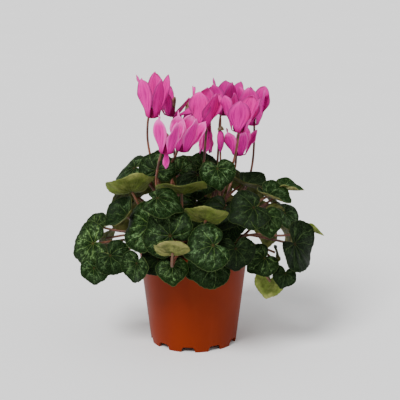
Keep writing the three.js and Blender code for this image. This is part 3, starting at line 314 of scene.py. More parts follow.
class CyclamenColours(bpy.types.PropertyGroup):
    leaf_dark: bpy.props.FloatVectorProperty(
        name="Leaf green", description="Dark green between the veins", subtype="COLOR", size=3,
        default=(0.0015, 0.0055, 0.0003), min=0, max=1,
    )
    leaf_silver: bpy.props.FloatVectorProperty(
        name="Silver marbling", description="Silver green of the band and patches", subtype="COLOR", size=3,
        default=(0.12, 0.22, 0.09), min=0, max=1,
    )
    leaf_vein: bpy.props.FloatVectorProperty(
        name="Leaf veins", description="Pale green of the veins", subtype="COLOR", size=3,
        default=(0.14, 0.23, 0.06), min=0, max=1,
    )
    leaf_under: bpy.props.FloatVectorProperty(
        name="Leaf underside", description="Olive green of the underside", subtype="COLOR", size=3,
        default=(0.115, 0.155, 0.028), min=0, max=1,
    )
    leaf_under_pale: bpy.props.FloatVectorProperty(
        name="Pale underside", description="Yellowish tan of the palest undersides", subtype="COLOR", size=3,
        default=(0.30, 0.27, 0.10), min=0, max=1,
    )
    petal: bpy.props.FloatVectorProperty(
        name="Petal pink", description="Magenta pink of the petals", subtype="COLOR", size=3,
        default=(0.76, 0.0, 0.32), min=0, max=1,
    )
    petal_mouth: bpy.props.FloatVectorProperty(
        name="Petal mouth", description="Deep crimson round the mouth", subtype="COLOR", size=3,
        default=(0.26, 0.0, 0.07), min=0, max=1,
    )
    petal_edge: bpy.props.FloatVectorProperty(
        name="Petal edge", description="Paler pink of the petals' rims", subtype="COLOR", size=3,
        default=(0.86, 0.13, 0.50), min=0, max=1,
    )
    stalk: bpy.props.FloatVectorProperty(
        name="Stalk brown", description="Reddish brown of the stalks", subtype="COLOR", size=3,
        default=(0.055, 0.014, 0.008), min=0, max=1,
    )
    pot: bpy.props.FloatVectorProperty(
        name="Terracotta", description="Colour of the pot's plastic", subtype="COLOR", size=3,
        default=(0.165, 0.015, 0.0), min=0, max=1,
    )
    peat: bpy.props.FloatVectorProperty(
        name="Peat", description="Dark brown of the peat", subtype="COLOR", size=3,
        default=(0.015, 0.009, 0.006), min=0, max=1,
    )


# Small helpers


def chance(a, b):
    """A repeatable number from 0 to 1 for two counters, the same as the solids use."""
    wave = math.sin(a * 127.1 + b * 311.7 + 11.3) * 43758.5453
    return wave - math.floor(wave)


def smoothstep(x, low, high):
    t = np.clip((x - low) / (high - low), 0, 1)
    return t * t * (3 - 2 * t)


def ripple(x, y, seed):
    """A smooth wandering value about -1 to 1 over two coordinates, from four crossing waves."""
    total = 0.0
    for k in range(4):
        turn = FULL_TURN * chance(seed, k)
        pace = 1.0 + 0.9 * k
        wave = pace * (x * math.cos(turn) + y * math.sin(turn)) + FULL_TURN * chance(seed, k + 9)
        total = total + np.sin(wave) / 2
    return total / 1.4


def placed(name, data):
    """A new object of the scene, at the origin."""
    made = bpy.data.objects.new(name, data)
    bpy.context.scene.collection.objects.link(made)
    return made


def shade_smooth(mesh):
    mesh.polygons.foreach_set("use_smooth", [True] * len(mesh.polygons))


def mesh_object(name, points, faces, material):
    """An object with a smooth mesh, from points in millimetres."""
    mesh = bpy.data.meshes.new(name)
    mesh.from_pydata((np.asarray(points) * MM).tolist(), [], faces)
    mesh.validate()
    mesh.materials.append(material)
    shade_smooth(mesh)
    return placed(name, mesh)


def put_uv(made, layer, values):
    """Stores a pair of values for each vertex as a UV map."""
    mesh = made.data
    uv = mesh.uv_layers.new(name=layer)
    corner = np.zeros(len(mesh.loops), np.int32)
    mesh.loops.foreach_get("vertex_index", corner)
    uv.data.foreach_set("uv", np.asarray(values, np.float32)[corner].ravel())


def put_tone(made, values):
    """Stores three values for each vertex, or one row for all of them, as a colour attribute."""
    count = len(made.data.vertices)
    tone = made.data.color_attributes.new("tone", "FLOAT_COLOR", "POINT")
    rows = np.ones((count, 4), np.float32)
    rows[:, :3] = values
    tone.data.foreach_set("color", rows.ravel())


def seat(made, slot, *nodes):
    """Finishes a piece: it rides on the plant and stands for its solids. slot is not used."""
    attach(made, "root")
    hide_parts(*nodes)


def evaluated_mesh(made):
    """A plain mesh of the object with its modifiers, in object space."""
    bpy.context.view_layer.update()
    depsgraph = bpy.context.evaluated_depsgraph_get()
    return bpy.data.meshes.new_from_object(made.evaluated_get(depsgraph), depsgraph=depsgraph)


def together(bodies):
    """The points and faces of several bodies as one."""
    points, faces = [], []
    start = 0
    for spots, own_faces in bodies:
        points.append(spots)
        faces += [tuple(int(corner) + start for corner in face) for face in own_faces]
        start += len(spots)
    return np.vstack(points), faces


def ringed(first, rings, last):
    """A closed body from a first point, rings of points one above another, and a last point."""
    sides = len(rings[0])
    top, end = 1 + (len(rings) - 1) * sides, 1 + len(rings) * sides
    faces = []
    for k in range(sides):
        after = (k + 1) % sides
        faces.append((0, 1 + after, 1 + k))
        for low in range(1, top, sides):
            faces.append((low + k, low + after, low + sides + after, low + sides + k))
        faces.append((top + k, top + after, end))
    return np.vstack([first, *rings, last]), faces


def lathe(profile, sides, ribs=0, depth=0.0):
    """A closed body turned about +Z from pairs of radius and height, the first and last on the axis."""
    turn = np.linspace(0, 2 * math.pi, sides, endpoint=False)
    scale = 1 + depth * np.cos(ribs * turn)
    across, along = scale * np.cos(turn), scale * np.sin(turn)
    rings = [
        np.stack([radius * across, radius * along, np.full(sides, height)], axis=1)
        for radius, height in profile[1:-1]
    ]
    return ringed((0, 0, profile[0][1]), rings, (0, 0, profile[-1][1]))


def rounded(profile):
    """The profile with each corner cut into an arc."""
    made = [profile[0]]
    for k in range(1, len(profile) - 1):
        before, here, after = (np.array(profile[n], float) for n in (k - 1, k, k + 1))
        back, ahead = np.linalg.norm(before - here), np.linalg.norm(after - here)
        reach = ROUNDING["share"] * min(back, ahead)
        start = here + (before - here) / max(back, 1e-6) * reach
        end = here + (after - here) / max(ahead, 1e-6) * reach
        for t in np.linspace(0, 1, ROUNDING["points"]):
            made.append(tuple((1 - t) ** 2 * start + 2 * t * (1 - t) * here + t * t * end))
    made.append(profile[-1])
    return made


def sheet(grid, thickness, closed):
    """A thin closed body round a grid of middle points: upper face, lower face and a rounded rim.

    grid has the shape rows, columns, 3. closed joins the last column to the first, and then the first row
    closes on itself at a pole. Returns points, faces, and for each point its row and column and its side.
    """
    rows, columns, _ = grid.shape
    along = np.gradient(grid, axis=0)
    if closed:
        across = (np.roll(grid, -1, axis=1) - np.roll(grid, 1, axis=1)) / 2
    else:
        across = np.gradient(grid, axis=1)
    normal = np.cross(along, across)
    normal /= np.maximum(np.linalg.norm(normal, axis=2, keepdims=True), 1e-9)
    if closed:
        pole = normal[1].mean(axis=0)
        normal[0] = pole / np.linalg.norm(pole)
    half = thickness / 2
    count = rows * columns
    points = [(grid + normal * half).reshape(-1, 3), (grid - normal * half).reshape(-1, 3)]
    index = np.arange(count).reshape(rows, columns)
    faces = []
    for i in range(rows - 1):
        for j in range(columns if closed else columns - 1):
            a, b = index[i, j], index[i + 1, j]
            c, d = index[i + 1, (j + 1) % columns], index[i, (j + 1) % columns]
            faces.append((a, b, c, d))
            faces.append((d + count, c + count, b + count, a + count))
    if closed:
        ring = list(index[-1])
    else:
        ring = list(index[:, 0]) + list(index[-1, 1:]) + list(index[-2::-1, -1]) + list(index[0, -2:0:-1])
    flat = grid.reshape(-1, 3)
    outward = np.zeros((len(ring), 3))
    for k, spot in enumerate(ring):
        ahead, behind = flat[ring[(k + 1) % len(ring)]], flat[ring[k - 1]]
        outward[k] = np.cross(ahead - behind, normal.reshape(-1, 3)[spot])
    outward /= np.maximum(np.linalg.norm(outward, axis=1, keepdims=True), 1e-9)
    points.append(flat[ring] + outward * thickness * RIM_ROUNDING)
    for k, spot in enumerate(ring):
        after = ring[(k + 1) % len(ring)]
        rim, rim_after = 2 * count + k, 2 * count + (k + 1) % len(ring)
        faces.append((after, spot, rim, rim_after))
        faces.append((rim_after, rim, spot + count, after + count))
    where = np.array([(i, j) for i in range(rows) for j in range(columns)])
    cells = np.vstack([where, where, where[ring]])
    side = np.concatenate([np.ones(count), np.zeros(count), np.full(len(ring), 0.5)])
    return np.vstack(points), faces, cells, side


def turn_about(axis, angle):
    """Rotation matrix about a unit axis, by an angle in radians."""
    x, y, z = axis
    c, s = math.cos(angle), math.sin(angle)
    cross = np.array(((0, -z, y), (z, 0, -x), (-y, x, 0)))
    return np.eye(3) + s * cross + (1 - c) * cross @ cross


def blend(t, p, q, low, high):
    """On the line that is p at low and q at high."""
    return (high - t) / (high - low) * p + (t - low) / (high - low) * q


def smooth_path(corners, step):
    """Points every step millimetres on a centripetal Catmull-Rom curve through the corners."""
    corners = [np.asarray(corner, float) for corner in corners]
    full = [2 * corners[0] - corners[1], *corners, 2 * corners[-1] - corners[-2]]
    made = []
    for k in range(1, len(full) - 2):
        p0, p1, p2, p3 = full[k - 1:k + 3]
        knots = [0.0]
        for a, b in ((p0, p1), (p1, p2), (p2, p3)):
            knots.append(knots[-1] + max(np.linalg.norm(b - a), 1e-3) ** 0.5)
        t0, t1, t2, t3 = knots
        parts = max(1, round(np.linalg.norm(p2 - p1) / step))
        for t in np.linspace(t1, t2, parts, endpoint=False):
            first, middle, last = blend(t, p0, p1, t0, t1), blend(t, p1, p2, t1, t2), blend(t, p2, p3, t2, t3)
            early, late = blend(t, first, middle, t0, t2), blend(t, middle, last, t1, t3)
            made.append(blend(t, early, late, t1, t2))
    made.append(corners[-1])
    return np.array(made)


def solid_corners(node):
    """A solid's corners in millimetres, each once, and the set of corners that each is joined to."""
    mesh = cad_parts[node].data
    spots = np.zeros(len(mesh.vertices) * 3)
    mesh.vertices.foreach_get("co", spots)
    grid = np.round(spots.reshape(-1, 3) / MM, 3)
    corners, which = np.unique(grid, axis=0, return_inverse=True)
    which = which.ravel()
    joined = [set() for _ in corners]
    for polygon in mesh.polygons:
        loop = [which[k] for k in polygon.vertices]
        for a, b in zip(loop, loop[1:] + loop[:1]):
            joined[a].add(int(b))
            joined[b].add(int(a))
    return corners, joined


# Nodes


class Maker:
    """Short ways to add and join the nodes of one tree."""

    def __init__(self, tree):
        self.nodes = tree.nodes
        self.links = tree.links

    def add(self, kind, inputs=None, **settings):
        node = self.nodes.new(kind)
        for key, value in settings.items():
            setattr(node, key, value)
        for key, value in (inputs or {}).items():
            self.feed(node.inputs[key], value)
        return node

    def feed(self, socket, value):
        """Joins the socket to another or gives it a value; None leaves it as it is."""
        if isinstance(value, bpy.types.NodeSocket):
            self.links.new(value, socket)
        elif value is not None:
            socket.default_value = value

    def math(self, operation, a, b=None, clamp=False):
        node = self.add("ShaderNodeMath", {0: a, 1: b}, operation=operation, use_clamp=clamp)
        return node.outputs[0]

    def plus(self, a, b):
        return self.math("ADD", a, b)

    def minus(self, a, b):
        return self.math("SUBTRACT", a, b)

    def times(self, a, b, clamp=False):
        return self.math("MULTIPLY", a, b, clamp)

    def vector(self, x, y, z=None):
        return self.add("ShaderNodeCombineXYZ", {"X": x, "Y": y, "Z": z}).outputs[0]

    def moved(self, vector, by):
        return self.add("ShaderNodeVectorMath", {0: vector, 1: by}, operation="ADD").outputs[0]

    def ramp(self, value, low, high, start=0.0, end=1.0):
        """start below low, end above high, smooth between."""
        inputs = {"Value": value, "From Min": low, "From Max": high, "To Min": start, "To Max": end}
        return self.add("ShaderNodeMapRange", inputs, interpolation_type="SMOOTHSTEP").outputs["Result"]

    def mix(self, factor, a, b, mode="MIX"):
        node = self.add("ShaderNodeMix", {0: factor, 6: a, 7: b}, data_type="RGBA", blend_type=mode)
        return node.outputs[2]

    def noise(self, vector, scale, detail=2.0, rough=0.5):
        inputs = {"Vector": vector, "Scale": scale, "Detail": detail, "Roughness": rough}
        return self.add("ShaderNodeTexNoise", inputs).outputs[0]

    def spot(self):
        """Where the shaded point is, in metres."""
        return self.add("ShaderNodeTexCoord").outputs["Object"]

    def pair(self, uv_map):
        """The two values of a UV map."""
        uv = self.add("ShaderNodeUVMap", uv_map=uv_map).outputs["UV"]
        apart = self.add("ShaderNodeSeparateXYZ", {"Vector": uv}).outputs
        return apart["X"], apart["Y"]

    def tone(self):
        """The three values that put_tone stored."""
        stored = self.add("ShaderNodeAttribute", attribute_name="tone").outputs["Color"]
        apart = self.add("ShaderNodeSeparateColor", {"Color": stored}).outputs
        return apart[0], apart[1], apart[2]

    def lit(self, colour, bright):
        return self.add("ShaderNodeHueSaturation", {"Color": colour, "Value": bright}).outputs["Color"]

    def bump(self, height, strength, distance):
        inputs = {"Strength": strength, "Distance": distance, "Height": height}
        return self.add("ShaderNodeBump", inputs).outputs["Normal"]


def new_tree(name, kind, inputs, outputs):
    """A node group with the named sockets, its Maker, and the sockets inside it."""
    tree = bpy.data.node_groups.new(name, kind)
    for in_out, sockets in (("INPUT", inputs), ("OUTPUT", outputs)):
        for label, socket in sockets.items():
            tree.interface.new_socket(label, in_out=in_out, socket_type="NodeSocket" + socket)
    make = Maker(tree)
    return tree, make, make.add("NodeGroupInput").outputs, make.add("NodeGroupOutput").inputs


# Leaves


def rim_radius(size, angle):
    """Distance from the stalk to the heart-shaped rim, for an angle from the tip."""
    back = math.pi - np.abs(angle)
    heart = HEART["rim"] + HEART["tip"] * np.cos(angle) - HEART["waist"] * np.cos(2 * angle)
    point = HEART["point"] * np.exp(-((angle / HEART["point_width"]) ** 2))
    return size * (heart + point) * (1 - HEART["notch"] * np.exp(-((back / HEART["notch_width"]) ** 2)))


def blade_points(leaf, index, share, angle):
    """The blade's middle surface in its own frame, tip along +X and upper face along +Z."""
    radius = share * rim_radius(leaf.size, angle)
    along = radius * np.cos(angle) / leaf.size
    across = radius * np.sin(angle) / leaf.size
    height = RELIEF["cup"] * leaf.cup * (radius / leaf.size) * share
    height = height + leaf.fold * (np.hypot(across, RELIEF["fold"]) - RELIEF["fold"])
    height = height - RELIEF["droop"] * np.maximum(0, along) ** 2
    phase = FULL_TURN * chance(index, DRAW["wave"])
    height = height + RELIEF["wave"] * share ** 3 * np.sin(RELIEF["waves"] * angle + phase)
    return np.stack([along * leaf.size, across * leaf.size, height * leaf.size], axis=-1)


def blade_frame(leaf):
    """Columns along the tip, the side and the upper face."""
    yaw, pitch = (math.radians(value) for value in leaf.face)
    tip = math.radians(leaf.tip)
    outward = np.array((math.sin(yaw), -math.cos(yaw), 0))
    right = np.array((math.cos(yaw), math.sin(yaw), 0))
    normal = outward * math.cos(pitch) + UP * math.sin(pitch)
    down = outward * math.sin(pitch) - UP * math.cos(pitch)
    along = down * math.cos(tip) + right * math.sin(tip)
    return np.stack([along, np.cross(normal, along), normal], axis=1)


def spoke_angles(count):
    even = (np.arange(count) + 0.5) / count * 2 - 1
    return math.pi * (even + BLADE["gather"] * np.sin(math.pi * even))


def coarse_blade(leaf, index):
    """The corners of the blade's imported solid, about its stalk's end."""
    angles = spoke_angles(BLADE["spokes"])
    count = len(angles)
    rings = [blade_points(leaf, index, np.full(count, share), angles) for share in (BLADE["inner"], 1.0)]
    points = np.vstack([np.zeros((1, 3)), *rings]) @ blade_frame(leaf).T
    normals = np.zeros_like(points)
    for j in range(count):
        after = (j + 1) % count
        inner, inner_after = 1 + j, 1 + after
        outer, outer_after = 1 + count + j, 1 + count + after
        triangles = ((0, inner, inner_after), (inner, outer, outer_after), (inner, outer_after, inner_after))
        for a, b, c in triangles:
            face = np.cross(points[b] - points[a], points[c] - points[a])
            for corner in (a, b, c):
                normals[corner] += face
    normals /= np.linalg.norm(normals, axis=1, keepdims=True)
    return np.vstack([points + normals * BLADE["thickness"] / 2, points - normals * BLADE["thickness"] / 2])


def leaf_place(leaf, index, corners):
    """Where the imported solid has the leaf's stalk end: the shift that carries most of the coarse blade's
    corners onto the solid's own, not far from the leaf's row."""
    template = coarse_blade(leaf, index)
    shifts = (corners[:, None, :] - template[None, :, :]).reshape(-1, 3)
    near = shifts[np.linalg.norm(shifts - np.array(leaf.at), axis=1) < LEAF_SEARCH["reach"]]
    bins = np.round(near / LEAF_SEARCH["bin"])
    _, which, counts = np.unique(bins, axis=0, return_inverse=True, return_counts=True)
    best = near[which.ravel() == counts.argmax()].mean(axis=0)
    close = near[np.linalg.norm(near - best, axis=1) < LEAF_SEARCH["error"]]
    if len(close) < BLADE["spokes"] + 1:
        raise RuntimeError("leaf row %d is not in its solid" % index)
    return close.mean(axis=0)


def leaf_groups():
    """For each leaf node, its name and the rows that are in it."""
    groups = {}
    for index in range(len(LEAVES)):
        base = index
        while LEAVES[base].onto is not None:
            base = LEAVES[base].onto
        groups.setdefault(base, []).append(index)
    return [("leaf_%02d" % (k + 1), rows) for k, (_, rows) in enumerate(sorted(groups.items()))]


def leaf_places():
    places = {}
    for node, rows in leaf_groups():
        corners, _ = solid_corners(node)
        for index in rows:
            places[index] = leaf_place(LEAVES[index], index, corners)
    return places


def fine_blade(leaf, index, place, sizes):
    """One leaf in detail: rounded teeth on the rim, swellings between the main veins."""
    angles = spoke_angles(sizes.leaf_spokes)
    shares = np.linspace(0, 1, sizes.leaf_rings + 1) ** FINE_BLADE["crowding"]
    share, angle = np.meshgrid(shares, angles, indexing="ij")
    grid = blade_points(leaf, index, share, angle)
    depth = np.array([TEETH["least"] + chance(index + DRAW["teeth"], k) for k in range(len(angles))])
    tooth = 1 + sizes.leaf_edge * (np.arange(len(angles)) % 2 - 0.5) * 2 * depth
    reach = np.where(share > TEETH["start"], (share - TEETH["start"]) / TEETH["band"], 0)
    grid[..., :2] *= 1 + reach[..., None] * (tooth[None, :, None] - 1)
    wide = np.sin(LOBES["wide"] * angle + LOBES["stray"] * chance(index, DRAW["wide_lobes"]))
    narrow = np.sin(LOBES["narrow"] * angle + LOBES["stray"] * chance(index, DRAW["narrow_lobes"]))
    lobes = LOBES["depth"] * share ** 3 * (wide + narrow)
    grid[..., :2] *= 1 + lobes[..., None]
    between = 1 - np.abs(np.cos(SWELL["pairs"] * (angle + SWELL["bend"] * share * np.sin(angle))))
    swell = SWELL["height"] * between * share * (SWELL["end"] - share)
    edge = EDGE["height"] * share ** 4 * ripple(angle * EDGE["pace"], share, index + EDGE["seed"])
    grid[..., 2] += -FINE_BLADE["lower"] + swell * leaf.size / SWELL["leaf"] + edge
    points, faces, cells, side = sheet(grid, FINE_BLADE["thickness"], True)
    blade = grid[cells[:, 0], cells[:, 1]][:, :2] / leaf.size
    rim = np.stack([shares[cells[:, 0]], side], axis=1)
    return points @ blade_frame(leaf).T + place, faces, blade, rim


def leaf_tone(index):
    """Brightness, silver and warmth of a leaf, by chance where the table has none."""
    if index in LEAF_TONES:
        return LEAF_TONES[index]
    return [least + spread * chance(index, DRAW[name]) for name, (least, spread) in OTHER_TONES.items()]


def build_leaves(sizes, material):
    places = leaf_places()
    for node, rows in leaf_groups():
        blades = [fine_blade(LEAVES[index], index, places[index], sizes) for index in rows]
        points, faces = together([blade[:2] for blade in blades])
        tones = [np.tile(leaf_tone(index), (len(blade[0]), 1)) for index, blade in zip(rows, blades)]
        made = mesh_object("fine_" + node, points, faces, material)
        put_uv(made, "blade", np.vstack([blade[2] for blade in blades]))
        put_uv(made, "rim", np.vstack([blade[3] for blade in blades]))
        put_tone(made, np.vstack(tones))
        seat(made, "leaf", node)


# Blooms


def bloom_frame(bloom):
    """Turn and place of a bloom: +Z from the mouth to the calyx, +Y to the stalk's gap."""
    axis = np.array((*bloom.lean, bloom.length), float)
    axis /= np.linalg.norm(axis)
    hinge = np.cross(UP, axis)
    size = np.linalg.norm(hinge)
    tilt = turn_about(hinge / size, math.asin(min(1, size))) if size > 1e-9 else np.eye(3)
    return tilt @ turn_about(UP, math.radians(bloom.spin)), np.array(bloom.mouth, float)


def petal_course(index, number, reflex):
    """Directions of a petal's middle line at its foot and at its tip, from straight down, and its twist."""
    if number in PETAL["back_petals"]:
        lift = HEADING["tip"] + HEADING["stray"] * chance(index, number + DRAW["lift"])
        own_twist = TWIST["stray"] / 2
    else:
        lift = HEADING["front_tip"] + HEADING["front_stray"] * chance(index, number + DRAW["lift"])
        own_twist = TWIST["stray"] * chance(index, number + DRAW["twist"])
    first = HEADING["hanging"] + reflex * HEADING["foot"]
    final = HEADING["hanging"] + reflex * lift
    twist = TWIST["least"] + TWIST["reflexed"] * reflex + own_twist
    return math.radians(first), math.radians(final), math.radians(twist)


def petal_half(share, number, widest):
    """Half the petal's width at a share of its length."""
    start, crest = PETAL["back" if number in PETAL["back_petals"] else "front"]
    if share < crest:
        half = PETAL["base"] + (widest - PETAL["base"]) * float(smoothstep(share, start, crest))
    else:
        half = widest * max(0.0, 1 - ((share - crest) / (1 - crest)) ** 2) ** PETAL["tip"]
    return max(half, FINE_PETAL["least_half"])


def petal_relief(share, columns, index, number):
    """How far each column of a petal's row stands off its middle line, and how far it runs ahead."""
    sag = -PETAL["sag"] * columns ** 2 * min(1, share * FINE_PETAL["flat_foot"])
    keel = KEEL["height"] * np.exp(-((columns / KEEL["width"]) ** 2))
    keel = keel * smoothstep(share, KEEL["start"], KEEL["full"]) * (KEEL["end"] - share)
    waves = ripple(share * FRILL["along"] + index, columns * FRILL["across"] + number, number + index)
    frill = FRILL["height"] * columns ** 2 * share * waves
    tears = ripple(columns * RAGGED["across"] + number, index * RAGGED["own"], number)
    return sag + keel + frill, RAGGED["depth"] * share ** RAGGED["late"] * tears


def petal_grid(bloom, index, number, rows):
    """A petal's middle surface in the bloom's frame: out from the tube's rim, round, and up."""
    reflex, share_of_length = bloom.reflex, 1.0
    if bloom.stray and bloom.stray[0] == number:
        _, reflex, share_of_length = bloom.stray
    angle = PETAL_ANGLES[number]
    outward = np.array((math.cos(angle), math.sin(angle), 0))
    side = np.array((-math.sin(angle), math.cos(angle), 0))
    own_length = PETAL["shortest"] + PETAL["longer"] * chance(index, number)
    length = bloom.length * share_of_length * own_length
    first, final, twist = petal_course(index, number, reflex)
    width = bloom.width or PETAL["width" if bloom.reflex > PETAL["young_reflex"] else "young_width"]
    widest = bloom.length * share_of_length * width
    centre = outward * TUBE["mouth"]
    steps = FINE_PETAL["substeps"] * rows
    columns = np.linspace(-1, 1, FINE_PETAL["columns"])
    made = []
    for step in range(steps + 1):
        share = step / steps
        heading = first + (final - first) * min(1, share * length / PETAL["bend"])
        along = outward * math.sin(heading) - UP * math.cos(heading)
        if step % FINE_PETAL["substeps"] == 0:
            turned = turn_about(along, twist * float(smoothstep(share, TWIST["start"], 1))) @ side
            normal = np.cross(turned, along)
            half = petal_half(share, number, widest)
            lift, ahead = petal_relief(share, columns, index, number)
            row = centre + turned * (columns * half)[:, None] + normal * lift[:, None]
            made.append(row + along * ahead[:, None])
        centre = centre + along * length / steps
    return np.array(made)


def fine_tube():
    """The tube that the petals grow from, open at its mouth with a flared lip. The profile's own numbers
    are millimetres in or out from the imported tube, and shares of its height."""
    top, height, mouth, wall = TUBE["top"], TUBE["height"], TUBE["mouth"], TUBE["wall"]
    profile = [
        (0, height), (top, height), (top + 0.2, height * 0.8), (mouth + 0.3, height * 0.3),
        (mouth + 0.9, -0.8), (mouth + 0.2, -1.4), (mouth - wall, -0.8), (mouth - wall - 0.4, height * 0.4),
        (top - wall, height - 2), (0, height - 1.5),
    ]
    return lathe(rounded(profile), **FINE_TUBE)


def build_blooms(sizes, material):
    tube = fine_tube()
    for index, bloom in enumerate(BLOOMS):
        turn, place = bloom_frame(bloom)
        bodies, marks = [], []
        for number in range(len(PETAL_ANGLES)):
            grid = petal_grid(bloom, index, number, sizes.petal_rows)
            points, faces, cells, _ = sheet(grid, FINE_PETAL["thickness"], False)
            bodies.append((points, faces))
            across, along = cells[:, 1] / (FINE_PETAL["columns"] - 1), cells[:, 0] / sizes.petal_rows
            marks.append(np.stack([across, along], axis=1))
        bodies.append(tube)
        marks.append(np.tile((0.5, 0.0), (len(tube[0]), 1)))
        points, faces = together(bodies)
        node = "bloom_%02d" % (index + 1)
        made = mesh_object("fine_" + node, points @ turn.T + place, faces, material)
        put_uv(made, "petal", np.vstack(marks))
        put_tone(made, BLOOM_TONES[index])
        seat(made, "petal", node)


def build_bud(material):
    """The bud hangs from its calyx, its petals rolled round one another."""
    length, folds = BUD["length"], FINE_BUD["folds"]
    angle = 2 * math.pi * np.arange(FINE_BUD["sides"]) / FINE_BUD["sides"]
    rib = 1 + FINE_BUD["fold"] * np.cos(folds * angle) + FINE_BUD["ridge"] * np.abs(np.sin(folds / 2 * angle))
    rings = []
    for ring in range(FINE_BUD["rings"] - 1, 0, -1):
        share = ring / FINE_BUD["rings"]
        plump = math.sin(math.pi * share ** FINE_BUD["early"]) ** FINE_BUD["plump"]
        reach = (BUD["radius"] * plump + FINE_BUD["least"]) * rib
        turned = angle + math.radians(BUD["twist"] * share)
        level = np.full(len(angle), -length * share)
        rings.append(np.stack([reach * np.cos(turned), reach * np.sin(turned), level], axis=1))
    points, faces = ringed((0, 0, -length), rings, (0, 0, 0))
    made = mesh_object("fine_bud", points + np.array(BUD["at"]), faces, material)
    x, y, z = points.T
    across = 0.5 + 0.5 * np.cos(folds * np.arctan2(y, x))
    along = FINE_BUD["first_mark"] + FINE_BUD["marked"] * (-z / length)
    put_uv(made, "petal", np.stack([across, along], axis=1))
    put_tone(made, BUD_TONE)
    seat(made, "petal", "bud")


# Stalks, calyxes and corm


def root_point(target, radius):
    """Where a stalk ends inside the corm, on the side of its target."""
    angle = math.atan2(target[1], target[0])
    z = CORM["z"] + CORM["half"] * math.sqrt(1 - (radius / CORM["radius"]) ** 2) - CORM["root_depth"]
    return np.array((radius * math.cos(angle), radius * math.sin(angle), z))


def end_ring(corners, joined, target):
    """The three joined corners at the upper end of a leaf's packed stalk, or None."""
    side = STALK_RADIUS * math.sqrt(3)
    near = np.argsort(np.linalg.norm(corners - target, axis=1))[:LEAF_STALK["near"]]
    for a in (int(k) for k in near):
        for b in joined[a]:
            for c in joined[a] & joined[b]:
                edges = [np.linalg.norm(corners[p] - corners[q]) for p, q in ((a, b), (b, c), (a, c))]
                if max(abs(edge - side) for edge in edges) < LEAF_STALK["edge_error"]:
                    return {a, b, c}
    return None


def walk_rings(corners, joined, ring, rules):
    """Middles of a packed stalk's rings of corners, from a known ring on, as far as they are whole."""
    seen = set(ring)
    middles = [corners[list(ring)].mean(axis=0)]
    for _ in range(rules["rings"]):
        following = {b for a in ring for b in joined[a]} - seen
        ring = {k for k in following if corners[k][2] < middles[-1][2] - rules["drop"]}
        if len(ring) != rules["sides"]:
            break
        spots = corners[list(ring)]
        middle = spots.mean(axis=0)
        if np.abs(np.linalg.norm(spots - middle, axis=1) - STALK_RADIUS).max() > rules["radius_error"]:
            break
        seen |= following
        middles.append(middle)
    return middles


def leaf_stalks(corners, joined, places):
    """Paths of the leaf stalks, from blade to corm."""
    paths = []
    for index, place in places.items():
        target = place - blade_frame(LEAVES[index])[:, 2] * LEAF_STALK["below"]
        root_radius = LEAF_STALK["root"] + LEAF_STALK["root_stray"] * chance(index, DRAW["root"])
        root = root_point(target, root_radius)
        ring = end_ring(corners, joined, target)
        if ring is None:
            paths.append([target, (root + target) / 2 + UP * LEAF_STALK["bow"], root])
            continue
        middles = walk_rings(corners, joined, ring, LEAF_STALK)
        if len(middles) < 3:
            middles.append((middles[-1] + root) / 2 + UP * LEAF_STALK["short_bow"])
        paths.append([*middles, root])
    return paths


def hook_points(hook, turn, place):
    return [turn @ np.array((0, across, height)) + place for across, height in hook]


def hook_ring(corners, line, radius):
    """The first whole ring of a flower's packed stalk along a line of points, or None."""
    gap = np.linalg.norm(corners[:, None, :] - line[None, :, :], axis=2)
    reach, where = gap.min(axis=1), gap.argmin(axis=1)
    found = [int(k) for k in np.nonzero(np.abs(reach - radius) < FLOWER_STALK["line_error"])[0]]
    found.sort(key=lambda k: where[k])
    for first in found:
        mates = {k for k in found if abs(int(where[k]) - int(where[first])) < FLOWER_STALK["mates"]}
        if len(mates) == FLOWER_STALK["sides"]:
            return mates
    return None


def flower_stalk(corners, joined, hook, radius):
    """Path of a flower stalk from its calyx down to the corm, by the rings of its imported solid."""
    root = root_point(hook[0], FLOWER_STALK["root"])
    upper = list(reversed(hook))
    ring = hook_ring(corners, smooth_path(hook[:3], FLOWER_STALK["step"]), radius)
    if ring is None:
        return [*upper, hook[0] * 0.5 + root * 0.5, root]
    middles = walk_rings(corners, joined, ring, FLOWER_STALK)
    first = middles[0]
    kept = []
    for spot in upper:
        rise = spot[2] - first[2]
        if rise > FLOWER_STALK["drop"] or (rise > 0 and np.linalg.norm(spot - first) > FLOWER_STALK["apart"]):
            kept.append(spot)
    if np.linalg.norm(middles[-1] - root) > FLOWER_STALK["far"]:
        middles.append((middles[-1] + root) / 2 + UP * FLOWER_STALK["bow"])
    return [*kept, *middles, root]


def stalk_tree(material):
    """Geometry nodes that skin paths with a round stalk and note how far along it each point lies."""
    tree, make, start, end = new_tree(
        "Stalk skin", "GeometryNodeTree", {"Geometry": "Geometry", "Sides": "Int"}, {"Geometry": "Geometry"},
    )
    factor = make.add("GeometryNodeSplineParameter").outputs["Factor"]
    noted = make.add(
        "GeometryNodeStoreNamedAttribute", {"Geometry": start["Geometry"], "Name": "along", "Value": factor},
        data_type="FLOAT", domain="POINT",
    ).outputs["Geometry"]
    circle = make.add("GeometryNodeCurvePrimitiveCircle", {"Resolution": start["Sides"], "Radius": 1.0})
    radius = make.add("GeometryNodeInputRadius").outputs["Radius"]
    skin = make.add("GeometryNodeCurveToMesh", {
        "Curve": noted, "Profile Curve": circle.outputs["Curve"], "Scale": radius, "Fill Caps": True,
    }).outputs["Mesh"]
    painted = make.add("GeometryNodeSetMaterial", {"Geometry": skin, "Material": material})
    make.feed(end["Geometry"], painted.outputs["Geometry"])
    return tree


